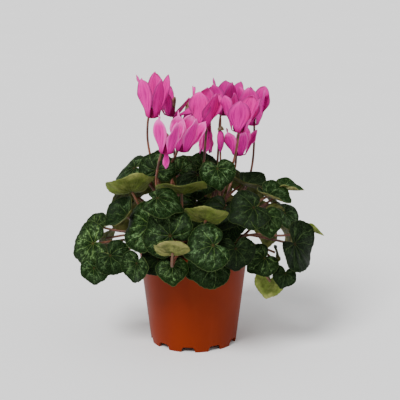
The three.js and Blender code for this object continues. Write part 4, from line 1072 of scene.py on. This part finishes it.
def applied(host, tree, settings, name):
    """The mesh object that a geometry node tree makes on its host, which is then removed."""
    modifier = host.modifiers.new(tree.name, "NODES")
    modifier.node_group = tree
    for item in tree.interface.items_tree:
        if item.in_out == "INPUT" and item.name in settings:
            modifier[item.identifier] = settings[item.name]
    host.update_tag()
    mesh = evaluated_mesh(host)
    mesh.name = name
    made = placed(name, mesh)
    bpy.data.objects.remove(host, do_unlink=True)
    return made


def build_stalks(sizes, material):
    corners, joined = solid_corners("crown")
    paths = [(path, *STALK_SKIN["leaf"]) for path in leaf_stalks(corners, joined, leaf_places())]
    hooks = [(hook_points(HOOK, *bloom_frame(bloom)), "flower") for bloom in BLOOMS]
    hooks.append((hook_points(BUD_HOOK, np.eye(3), np.array(BUD["at"])), "bud"))
    for hook, kind in hooks:
        thick, taper = STALK_SKIN[kind]
        paths.append((flower_stalk(corners, joined, hook, STALK_RADIUS * thick), thick, taper))
    curve = bpy.data.curves.new("stalk paths", "CURVE")
    curve.dimensions = "3D"
    for path, thick, taper in paths:
        spots = smooth_path(path, STALK_SKIN["step"])
        spline = curve.splines.new("POLY")
        spline.points.add(len(spots) - 1)
        share = np.linspace(0, 1, len(spots))
        for point, spot, along in zip(spline.points, spots, share):
            point.co = (*(spot * MM), 1)
            point.radius = STALK_RADIUS * thick * MM * (taper + (STALK_SKIN["foot"] - taper) * along)
    host = placed("stalk paths", curve)
    made = applied(host, stalk_tree(material), {"Sides": sizes.stalk_sides}, "fine_stalks")
    shade_smooth(made.data)
    seat(made, "stalk", "crown")


def build_calyxes(material):
    places = [(bloom_frame(bloom), TUBE["height"]) for bloom in BLOOMS]
    places.append(((np.eye(3), np.array(BUD["at"], float)), 0))
    bodies = []
    for (turn, place), lift in places:
        points, faces = lathe([(r, h + lift) for r, h in rounded(CALYX_PROFILE)], **FINE_CALYX)
        bodies.append((points @ turn.T + place, faces))
    seat(mesh_object("fine_calyxes", *together(bodies), material), "stalk", "crown")


def knobbed(ball, seed, rough):
    """A lumpy flattened ball."""
    turn = 2 * math.pi * np.arange(FINE_CORM["sides"]) / FINE_CORM["sides"]
    rings = []
    for polar in math.pi * np.arange(1, FINE_CORM["rings"]) / FINE_CORM["rings"]:
        x, y = np.cos(turn) * math.sin(polar), np.sin(turn) * math.sin(polar)
        lump = 1 + rough * ripple(FINE_CORM["lumps"] * x, FINE_CORM["lumps"] * y, seed) - rough
        flat = ball["radius"] * lump
        level = ball["z"] - ball["half"] * lump * math.cos(polar)
        rings.append(np.stack([flat * x, flat * y, level], axis=1))
    return ringed((0, 0, ball["z"] - ball["half"]), rings, (0, 0, ball["z"] + ball["half"]))


def build_corm(material):
    bodies = [knobbed(CORM, *FINE_CORM["corm"]), knobbed(MOUND, *FINE_CORM["mound"])]
    seat(mesh_object("fine_corm", *together(bodies), material), "stalk", "crown")


# Pot and peat


def pot_radius(z):
    return POT["base"] + (POT["top"] - POT["base"]) * z / POT["height"]


def pot_profile():
    """The pot's outline from under its middle, round the wall and the lip, to the middle of its floor.
    Corners get close rows on both sides, and long spans get rows between."""
    height, top, base, foot = POT["height"], POT["top"], POT["base"], POT["base"] - POT["foot"]
    under = POT["floor_top"] - POT["floor"]
    low = height - POT["lip_height"]
    neck, edge = pot_radius(low), POT["lip_edge"]
    profile = [
        (0, 0), (POT["pad"], 0), (POT["pad"], under), (foot, under), (foot, 0), (base, 0),
        (neck, low), (neck + POT["lip_out"], low + POT["lip_up"]), (top, height - edge), (top - edge, height),
        (top - POT["lip_wall"], height), (neck - POT["lip_wall"], low),
        (neck - POT["wall"], low - POT["lip_down"]),
        (pot_radius(POT["floor_top"]) - POT["wall"], POT["floor_top"]), (0, POT["floor_top"]),
    ]
    full = [profile[0]]
    for before, after in zip(profile, profile[1:]):
        span = math.dist(before, after)
        close = FINE_POT["close"] / span
        parts = round(span / FINE_POT["row"])
        ends = [close, 1 - close] if span > FINE_POT["short"] else []
        inner = [k / parts for k in range(1, parts)] if span > FINE_POT["long"] else []
        for t in sorted([*ends, *inner, 1]):
            full.append((before[0] + (after[0] - before[0]) * t, before[1] + (after[1] - before[1]) * t))
    return full


def notch_bodies():
    """A closed body for each drainage notch, right through the wall at the pot's foot. Its outline starts a
    millimetre under the ground, and its other numbers round its shoulders."""
    half, crest, rise = NOTCH["width"] / 2, NOTCH["top"] / 2, NOTCH["height"]
    right = [
        (half, -1), (half - 0.3, rise * 0.4), (half - 1, rise * 0.66), (crest + 0.4, rise - 0.5),
        (crest - 0.8, rise),
    ]
    left = [(-x, z) for x, z in reversed(right)]
    outline = [left[-1], *right, *left[:-1]]
    n = len(outline)
    faces = [tuple(range(n)), tuple(range(2 * n - 1, n - 1, -1))]
    faces += [(i, n + i, n + (i + 1) % n, (i + 1) % n) for i in range(n)]
    bodies = []
    for k in range(NOTCH["count"]):
        turn = turn_about(UP, math.radians(NOTCH["first"] + 360 * k / NOTCH["count"]))
        ends = (-POT["base"] - FINE_POT["notch_out"], -POT["base"] + FINE_POT["notch_in"])
        bodies.append(([turn @ np.array((x, y, z)) for y in ends for x, z in outline], faces))
    return together(bodies)


def build_pot(sizes, material):
    made = mesh_object("fine_pot", *lathe(pot_profile(), sizes.pot_segments), material)
    cutter = mesh_object("notches", *notch_bodies(), material)
    cut = made.modifiers.new("notches", "BOOLEAN")
    cut.object = cutter
    cut.operation = "DIFFERENCE"
    cut.solver = "EXACT"
    mesh = evaluated_mesh(made)
    made.modifiers.clear()
    made.data = mesh
    bpy.data.objects.remove(cutter, do_unlink=True)
    shade_smooth(mesh)
    mesh.set_sharp_from_angle(angle=math.radians(FINE_POT["sharp"]))
    seat(made, "pot", "pot")


def crumb_tree(material):
    """Geometry nodes that strew small lumps over a surface."""
    sockets = {"Geometry": "Geometry", "Density": "Float", "Size": "Float"}
    tree, make, start, end = new_tree("Peat crumbs", "GeometryNodeTree", sockets, {"Geometry": "Geometry"})
    strewn = make.add("GeometryNodeDistributePointsOnFaces", {
        "Mesh": start["Geometry"], "Density": start["Density"], "Seed": CRUMBS["seed"],
    }).outputs["Points"]
    lump = make.add("GeometryNodeMeshIcoSphere", {"Radius": 0.5, "Subdivisions": 1}).outputs["Mesh"]
    turns = {"Max": CRUMBS["turn"], "Seed": CRUMBS["turn_seed"]}
    turn = make.add("FunctionNodeRandomValue", turns, data_type="FLOAT_VECTOR").outputs["Value"]
    shapes = {"Min": CRUMBS["least"], "Max": CRUMBS["most"], "Seed": CRUMBS["shape_seed"]}
    shape = make.add("FunctionNodeRandomValue", shapes, data_type="FLOAT_VECTOR").outputs["Value"]
    scale = make.add("ShaderNodeVectorMath", {"Vector": shape, "Scale": start["Size"]}, operation="SCALE")
    crumbs = make.add("GeometryNodeInstanceOnPoints", {
        "Points": strewn, "Instance": lump, "Rotation": turn, "Scale": scale.outputs["Vector"],
    }).outputs["Instances"]
    real = make.add("GeometryNodeRealizeInstances", {"Geometry": crumbs}).outputs["Geometry"]
    painted = make.add("GeometryNodeSetMaterial", {"Geometry": real, "Material": material})
    make.feed(end["Geometry"], painted.outputs["Geometry"])
    return tree


def build_crumbs(sizes, material, points, faces, level):
    """Loose crumbs over the peat's open top, clear of the pot's wall."""
    inside = (points[:, 2] > level) & (np.hypot(points[:, 0], points[:, 1]) < CRUMBS["reach"])
    open_top = [face for face in faces if all(inside[corner] for corner in face)]
    host = mesh_object("peat top", points, open_top, material)
    settings = {"Density": sizes.crumb_density, "Size": sizes.crumb_size}
    seat(applied(host, crumb_tree(material), settings, "fine_crumbs"), "soil", "soil")


def build_peat(sizes, material):
    top, gap = SOIL["top"], SOIL["gap"]
    inner = pot_radius(top) - POT["wall"] - gap
    foot = pot_radius(POT["floor_top"]) - POT["wall"] - gap
    bottom = POT["floor_top"] + gap
    profile = [
        (0, bottom), (foot * FINE_PEAT["foot_in"], bottom), (foot, bottom + FINE_PEAT["foot_up"]),
        (inner, top - FINE_PEAT["edge"]),
    ]
    for share in np.linspace(FINE_PEAT["outer"], FINE_PEAT["middle"], FINE_PEAT["rings"]):
        level = top + SOIL["mound"] * float(smoothstep(1 - share, *FINE_PEAT["rise"]))
        profile.append((inner * share, level))
    profile.append((0, top + SOIL["mound"]))
    points, faces = lathe(profile, FINE_PEAT["sides"])
    x, y = points[:, 0], points[:, 1]
    (coarse, coarse_seed), (fine, fine_seed) = FINE_PEAT["coarse"], FINE_PEAT["fine"]
    lumps = ripple(x / coarse, y / coarse, coarse_seed)
    lumps = lumps + ripple(x / fine, y / fine, fine_seed) * FINE_PEAT["fine_share"]
    open_level = top - FINE_PEAT["open"]
    rough = (points[:, 2] > open_level) & (np.hypot(x, y) < inner - FINE_PEAT["rim"])
    points[:, 2] += rough * (lumps * FINE_PEAT["lumps"] - FINE_PEAT["lower"])
    seat(mesh_object("fine_peat", points, faces, material), "soil", "soil")
    build_crumbs(sizes, material, points, faces, open_level)


# Materials


def new_material(name):
    """A new material, the Maker of its nodes and its shader's inputs."""
    made = bpy.data.materials.new(name)
    made.use_nodes = True
    return made, Maker(made.node_tree), made.node_tree.nodes["Principled BSDF"].inputs


def colour_of(value):
    return (*value, 1.0)


def vein_group():
    """Masks of a leaf's veins, of the fine net between them, of its silver marbling and of its centre."""
    tree, make, start, end = new_tree(
        "Leaf markings", "ShaderNodeTree", {"Blade": "Vector", "Share": "Float", "Seed": "Float"},
        {"Veins": "Float", "Net": "Float", "Silver": "Float", "Centre": "Float"},
    )
    blade, share, seed = start["Blade"], start["Share"], start["Seed"]
    apart = make.add("ShaderNodeSeparateXYZ", {"Vector": blade}).outputs
    x, y = apart["X"], apart["Y"]
    radius = make.math("SQRT", make.plus(make.times(x, x), make.times(y, y)))
    angle = make.math("ARCTAN2", y, x)
    place = make.moved(blade, make.vector(seed, make.times(seed, 1.7)))
    wander = make.minus(make.noise(place, 5.0, 2.0), 0.5)
    warped = make.moved(place, make.vector(make.times(wander, 0.12), make.times(wander, -0.1)))
    bent = make.plus(make.plus(angle, make.times(y, 0.75)), make.times(wander, 0.5))

    def gap(turn):
        """Distance from the nearest of eight rays turned by an angle."""
        wave = make.math("SINE", make.times(turn, 4.0))
        return make.times(make.times(make.math("ABSOLUTE", wave), radius), 0.25)

    def cells(scale, feature, output):
        """A pattern of flat cells over the blade."""
        inputs = {"Vector": warped, "Scale": scale}
        node = make.add("ShaderNodeTexVoronoi", inputs, feature=feature, voronoi_dimensions="2D")
        return node.outputs[output]

    # Eight main veins, each with a fork to either side that opens towards the rim.
    width = make.ramp(radius, 0.0, 0.6, 0.0050, 0.0030)
    from_main = make.math("DIVIDE", gap(bent), width)
    main = make.ramp(from_main, 0.55, 1.25, 1.0, 0.0)
    spread = make.times(make.ramp(radius, 0.10, 0.62), 0.36)
    fork = make.math("MINIMUM", gap(make.plus(bent, spread)), gap(make.minus(bent, spread)))
    fork = make.ramp(make.math("DIVIDE", fork, make.times(width, 0.62)), 0.5, 1.3, 1.0, 0.0)
    veins = make.math("MAXIMUM", main, make.times(fork, 0.65))
    veins = make.times(veins, make.ramp(make.noise(place, 7.0, 1.0), 0.3, 0.7, 0.35, 1.0))
    net = make.ramp(cells(15.0, "DISTANCE_TO_EDGE", "Distance"), 0.02, 0.10, 1.0, 0.0)

    # The silver band between centre and rim: blotches in patches, and feathers along the main veins.
    band = make.times(make.ramp(share, 0.22, 0.48), make.ramp(share, 0.74, 0.95, 1.0, 0.0))
    tint = make.add("ShaderNodeSeparateColor", {"Color": cells(7.5, "F1", "Color")}).outputs[0]
    patch = make.ramp(tint, 0.30, 0.62)
    soft = make.ramp(make.noise(place, 9.0, 3.0), 0.40, 0.66)
    polar = make.vector(make.times(bent, 9.0), make.times(radius, 16.0), seed)
    stroke = make.ramp(make.noise(polar, 1.3, 3.0, 0.6), 0.47, 0.60)
    blotch = make.times(make.plus(make.times(patch, 0.6), 0.4), soft)
    blotch = make.times(blotch, make.plus(make.times(stroke, 0.8), 0.2))
    feather = make.ramp(from_main, 1.0, 6.0, 1.0, 0.0)
    feather = make.times(feather, make.ramp(make.noise(warped, 26.0, 3.0), 0.42, 0.6))
    silver = make.times(band, make.math("MAXIMUM", blotch, feather))
    centre = make.ramp(radius, 0.015, 0.055, 1.0, 0.0)
    for name, mask in (("Veins", veins), ("Net", net), ("Silver", silver), ("Centre", centre)):
        make.feed(end[name], mask)
    return tree


def leaf_material(colours):
    made, make, shader = new_material("leaf")
    blade = make.add("ShaderNodeUVMap", uv_map="blade").outputs["UV"]
    share, side = make.pair("rim")
    bright, silvery, warm = make.tone()
    inputs = {"Blade": blade, "Seed": make.times(warm, 37.0), "Share": share}
    marks = make.add("ShaderNodeGroup", inputs, node_tree=vein_group()).outputs
    veins, net = marks["Veins"], marks["Net"]

    # The upper face: green, its net, the silver, the veins, the rim, the centre, and an older leaf's warmth.
    upper = make.mix(make.noise(blade, 6.0, 3.0), colour_of(colours.leaf_dark), SHADES["leaf between"])
    upper = make.mix(make.times(net, 0.7), upper, SHADES["leaf net"])
    upper = make.mix(make.times(marks["Silver"], silvery, clamp=True), upper, colour_of(colours.leaf_silver))
    vein_mask = make.times(veins, make.ramp(share, 0.9, 1.0, 0.8, 0.35))
    upper = make.mix(vein_mask, upper, colour_of(colours.leaf_vein))
    upper = make.mix(make.ramp(share, 0.965, 1.0, 0.0, 0.55), upper, SHADES["leaf rim"])
    upper = make.mix(make.times(marks["Centre"], 0.7), upper, SHADES["leaf centre"])
    upper = make.mix(make.times(warm, 0.5), upper, SHADES["leaf warmth"], "SOFT_LIGHT")

    # The underside: olive to tan, with its veins, and painted shade in darker clouds that deepens towards the
    # blade's middle.
    tan = make.ramp(make.noise(blade, 2.6, 2.0), 0.42, 0.68, 0.0, 0.4)
    tan = make.plus(make.ramp(warm, 0.15, 0.5, 0.75, 0.0), tan)
    under = make.mix(tan, colour_of(colours.leaf_under), colour_of(colours.leaf_under_pale))
    under = make.mix(make.times(veins, 0.5), under, SHADES["underside vein"])
    shade = make.ramp(make.noise(blade, 4.0, 4.0, 0.6), 0.35, 0.65, 0.0, 0.75)
    shade = make.plus(shade, make.ramp(share, 0.3, 0.9, 0.2, 0.0))
    under = make.mix(shade, under, SHADES["underside painted shade"])

    both = make.mix(make.ramp(side, 0.3, 0.7), under, upper)
    make.feed(shader["Base Color"], make.lit(both, bright))
    make.feed(shader["Roughness"], make.plus(make.times(make.noise(blade, 22.0, 2.0), 0.16), 0.40))
    shader["Specular IOR Level"].default_value = 0.06
    height = make.minus(make.times(net, -0.35), make.times(veins, 0.8))
    height = make.plus(height, make.times(make.noise(blade, 30.0, 2.0), 0.3))
    make.feed(shader["Normal"], make.bump(height, 1.0, 0.0012))
    return made


def petal_material(colours):
    made, make, shader = new_material("petal")
    across, share = make.pair("petal")
    bright, pale, purple = make.tone()
    waver = make.times(make.noise(make.spot(), 14.0, 1.0), 2.0)
    streak = make.noise(make.vector(make.times(across, 16.0), make.times(share, 1.2), waver), 1.6, 3.0, 0.6)
    edge_colour = colour_of(colours.petal_edge)
    colour = make.mix(make.ramp(share, 0.02, 0.3), colour_of(colours.petal_mouth), colour_of(colours.petal))
    colour = make.mix(make.ramp(streak, 0.42, 0.72, 0.0, 0.75), colour, SHADES["petal streak"])
    edge = make.times(make.math("ABSOLUTE", make.minus(across, 0.5)), 2.0)
    # Painted shade: the petals' side edges are darkened, less on pale-edged blooms, to part overlapping
    # petals.
    margin = make.times(make.ramp(edge, 0.68, 1.0), make.ramp(share, 0.05, 0.3))
    painted_edge_shade = make.times(margin, make.ramp(pale, 0.1, 0.8, 0.9, 0.0))
    colour = make.mix(painted_edge_shade, colour, SHADES["petal edge painted shade"])
    edge_mask = make.times(make.ramp(edge, 0.55, 1.0), make.ramp(share, 0.12, 0.5))
    colour = make.mix(make.times(edge_mask, pale, clamp=True), colour, edge_colour)
    colour = make.mix(make.times(make.ramp(share, 0.8, 1.0), pale, clamp=True), colour, edge_colour)
    colour = make.mix(make.times(purple, 0.6), colour, SHADES["petal purple"])
    make.feed(shader["Base Color"], make.lit(colour, bright))
    shader["Roughness"].default_value = 0.55
    shader["Specular IOR Level"].default_value = 0.1
    make.feed(shader["Normal"], make.bump(streak, 0.35, 0.0005))
    return made


def stalk_material(colours):
    made, make, shader = new_material("stalk")
    spot = make.spot()
    along = make.add("ShaderNodeAttribute", attribute_name="along").outputs["Fac"]
    patchy = make.ramp(make.noise(spot, 90.0, 3.0), 0.35, 0.7)
    colour = make.mix(patchy, colour_of(colours.stalk), SHADES["stalk patches"])
    colour = make.mix(make.ramp(along, 0.0, 0.25, 0.35, 0.0), colour, SHADES["stalk end"])
    make.feed(shader["Base Color"], colour)
    shader["Roughness"].default_value = 0.45
    make.feed(shader["Normal"], make.bump(make.noise(spot, 700.0, 2.0), 0.2, 0.0003))
    return made


def mottled_material(name, dark, pale, grain, spread, roughness, bump=None):
    """Two colours mixed by one noise, which may raise bumps too."""
    made, make, shader = new_material(name)
    noise = make.noise(make.spot(), *grain)
    make.feed(shader["Base Color"], make.mix(make.ramp(noise, *spread) if spread else noise, dark, pale))
    shader["Roughness"].default_value = roughness
    if bump:
        make.feed(shader["Normal"], make.bump(noise, *bump))
    return made


def calyx_material():
    dark, pale = SHADES["calyx dark"], SHADES["calyx pale"]
    return mottled_material("calyx", dark, pale, (260.0, 3.0), (0.35, 0.7), 0.55)


def corm_material():
    dark, pale = SHADES["corm dark"], SHADES["corm pale"]
    return mottled_material("corm", dark, pale, (160.0, 5.0, 0.65), (0.3, 0.7), 0.9, (0.7, 0.0015))


def peat_material(colours):
    dark, pale = colour_of(colours.peat), SHADES["peat pale"]
    return mottled_material("peat", dark, pale, (420.0, 6.0, 0.7), (0.35, 0.72), 0.95, (0.9, 0.0012))


def floor_material():
    return mottled_material("floor", SHADES["floor low"], SHADES["floor high"], (3.0, 2.0), None, 0.8)


def pot_material(colours):
    made, make, shader = new_material("pot")
    spot = make.spot()
    apart = make.add("ShaderNodeSeparateXYZ", {"Vector": spot}).outputs
    upright = make.vector(apart["X"], apart["Y"], make.times(apart["Z"], 0.12))
    streak = make.noise(upright, 60.0, 4.0, 0.6)
    clouds = make.ramp(make.noise(spot, 22.0, 3.0), 0.3, 0.75, 0.0, 0.5)
    colour = make.mix(clouds, colour_of(colours.pot), SHADES["pot clouds"])
    colour = make.mix(make.ramp(streak, 0.52, 0.8, 0.0, 0.22), colour, SHADES["pot dust"])
    make.feed(shader["Base Color"], colour)
    make.feed(shader["Roughness"], make.ramp(streak, 0.3, 0.8, 0.42, 0.55))
    shader["Specular IOR Level"].default_value = 0.1
    make.feed(shader["Normal"], make.bump(make.noise(spot, 900.0, 2.0), 0.12, 0.0003))
    return made


# Stage


def build_stage():
    floor = bpy.data.meshes.new("floor")
    corners = [(x * FLOOR_REACH, y * FLOOR_REACH, 0) for x, y in ((-1, -1), (1, -1), (1, 1), (-1, 1))]
    floor.from_pydata(corners, [], [(0, 1, 2, 3)])
    floor.materials.append(floor_material())
    ground = placed("floor", floor)
    world = bpy.data.worlds.new("studio")
    bpy.context.scene.world = world
    world.use_nodes = True
    background = world.node_tree.nodes["Background"]
    background.inputs["Color"].default_value = (1, 1, 1, 1)
    background.inputs["Strength"].default_value = WORLD_STRENGTH
    for name, (turn, strength, spread) in LIGHTS.items():
        light = placed(name, bpy.data.lights.new(name, "SUN"))
        light.data.energy = strength
        light.data.angle = math.radians(spread)
        light.rotation_euler = [math.radians(angle) for angle in turn]
    camera = placed("camera", bpy.data.cameras.new("camera"))
    aim, rise = Vector(CAMERA["aim"]), math.radians(CAMERA["rise"])
    camera.location = aim + Vector((0, -math.cos(rise), math.sin(rise))) * CAMERA["distance"]
    camera.rotation_euler = (aim - camera.location).to_track_quat("-Z", "Y").to_euler()
    camera.data.lens = CAMERA["lens"]
    camera.data.sensor_width = CAMERA["sensor"]
    bpy.context.scene.camera = camera


# Operators


class CYCLAMEN_OT_pot(bpy.types.Operator):
    """Turns the plastic pot and cuts its drainage notches"""
    bl_idname = "cyclamen.pot"
    bl_label = "Pot"

    def execute(self, context):
        build_pot(context.scene.cyclamen_sizes, pot_material(context.scene.cyclamen_colours))
        return {"FINISHED"}


class CYCLAMEN_OT_peat(bpy.types.Operator):
    """Fills the pot with peat and strews its crumbs"""
    bl_idname = "cyclamen.peat"
    bl_label = "Peat"

    def execute(self, context):
        build_peat(context.scene.cyclamen_sizes, peat_material(context.scene.cyclamen_colours))
        return {"FINISHED"}


class CYCLAMEN_OT_crown(bpy.types.Operator):
    """Grows the corm, the leaf and flower stalks and the calyxes"""
    bl_idname = "cyclamen.crown"
    bl_label = "Corm and stalks"

    def execute(self, context):
        build_corm(corm_material())
        build_stalks(context.scene.cyclamen_sizes, stalk_material(context.scene.cyclamen_colours))
        build_calyxes(calyx_material())
        return {"FINISHED"}


class CYCLAMEN_OT_leaves(bpy.types.Operator):
    """Shapes every leaf blade with its teeth and swellings"""
    bl_idname = "cyclamen.leaves"
    bl_label = "Leaves"

    def execute(self, context):
        build_leaves(context.scene.cyclamen_sizes, leaf_material(context.scene.cyclamen_colours))
        return {"FINISHED"}


class CYCLAMEN_OT_blooms(bpy.types.Operator):
    """Shapes the open blooms, the young bloom and the bud"""
    bl_idname = "cyclamen.blooms"
    bl_label = "Blooms"

    def execute(self, context):
        material = petal_material(context.scene.cyclamen_colours)
        build_blooms(context.scene.cyclamen_sizes, material)
        build_bud(material)
        return {"FINISHED"}


class CYCLAMEN_OT_stage(bpy.types.Operator):
    """Sets the floor, the soft lights and the camera"""
    bl_idname = "cyclamen.stage"
    bl_label = "Stage"

    def execute(self, context):
        build_stage()
        return {"FINISHED"}


class CYCLAMEN_PT_panel(bpy.types.Panel):
    """Sizes, colours and the steps that build the plant"""
    bl_idname = "CYCLAMEN_PT_panel"
    bl_label = "Potted cyclamen"
    bl_space_type = "VIEW_3D"
    bl_region_type = "UI"
    bl_category = "Cyclamen"

    def draw(self, context):
        for settings in (context.scene.cyclamen_sizes, context.scene.cyclamen_colours):
            box = self.layout.box()
            for name in settings.__annotations__:
                box.prop(settings, name)
        for step in STEPS:
            self.layout.operator(step.bl_idname)


STEPS = (
    CYCLAMEN_OT_pot, CYCLAMEN_OT_peat, CYCLAMEN_OT_crown, CYCLAMEN_OT_leaves, CYCLAMEN_OT_blooms,
    CYCLAMEN_OT_stage,
)
CLASSES = (CyclamenSizes, CyclamenColours, *STEPS, CYCLAMEN_PT_panel)


def register():
    for item in CLASSES:
        bpy.utils.register_class(item)
    bpy.types.Scene.cyclamen_sizes = bpy.props.PointerProperty(type=CyclamenSizes)
    bpy.types.Scene.cyclamen_colours = bpy.props.PointerProperty(type=CyclamenColours)


def unregister():
    del bpy.types.Scene.cyclamen_colours
    del bpy.types.Scene.cyclamen_sizes
    for item in reversed(CLASSES):
        bpy.utils.unregister_class(item)


def main():
    register()
    bpy.ops.cyclamen.pot()
    bpy.ops.cyclamen.peat()
    bpy.ops.cyclamen.crown()
    bpy.ops.cyclamen.leaves()
    bpy.ops.cyclamen.blooms()
    bpy.ops.cyclamen.stage()
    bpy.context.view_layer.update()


if __name__ == "__main__":
    main()
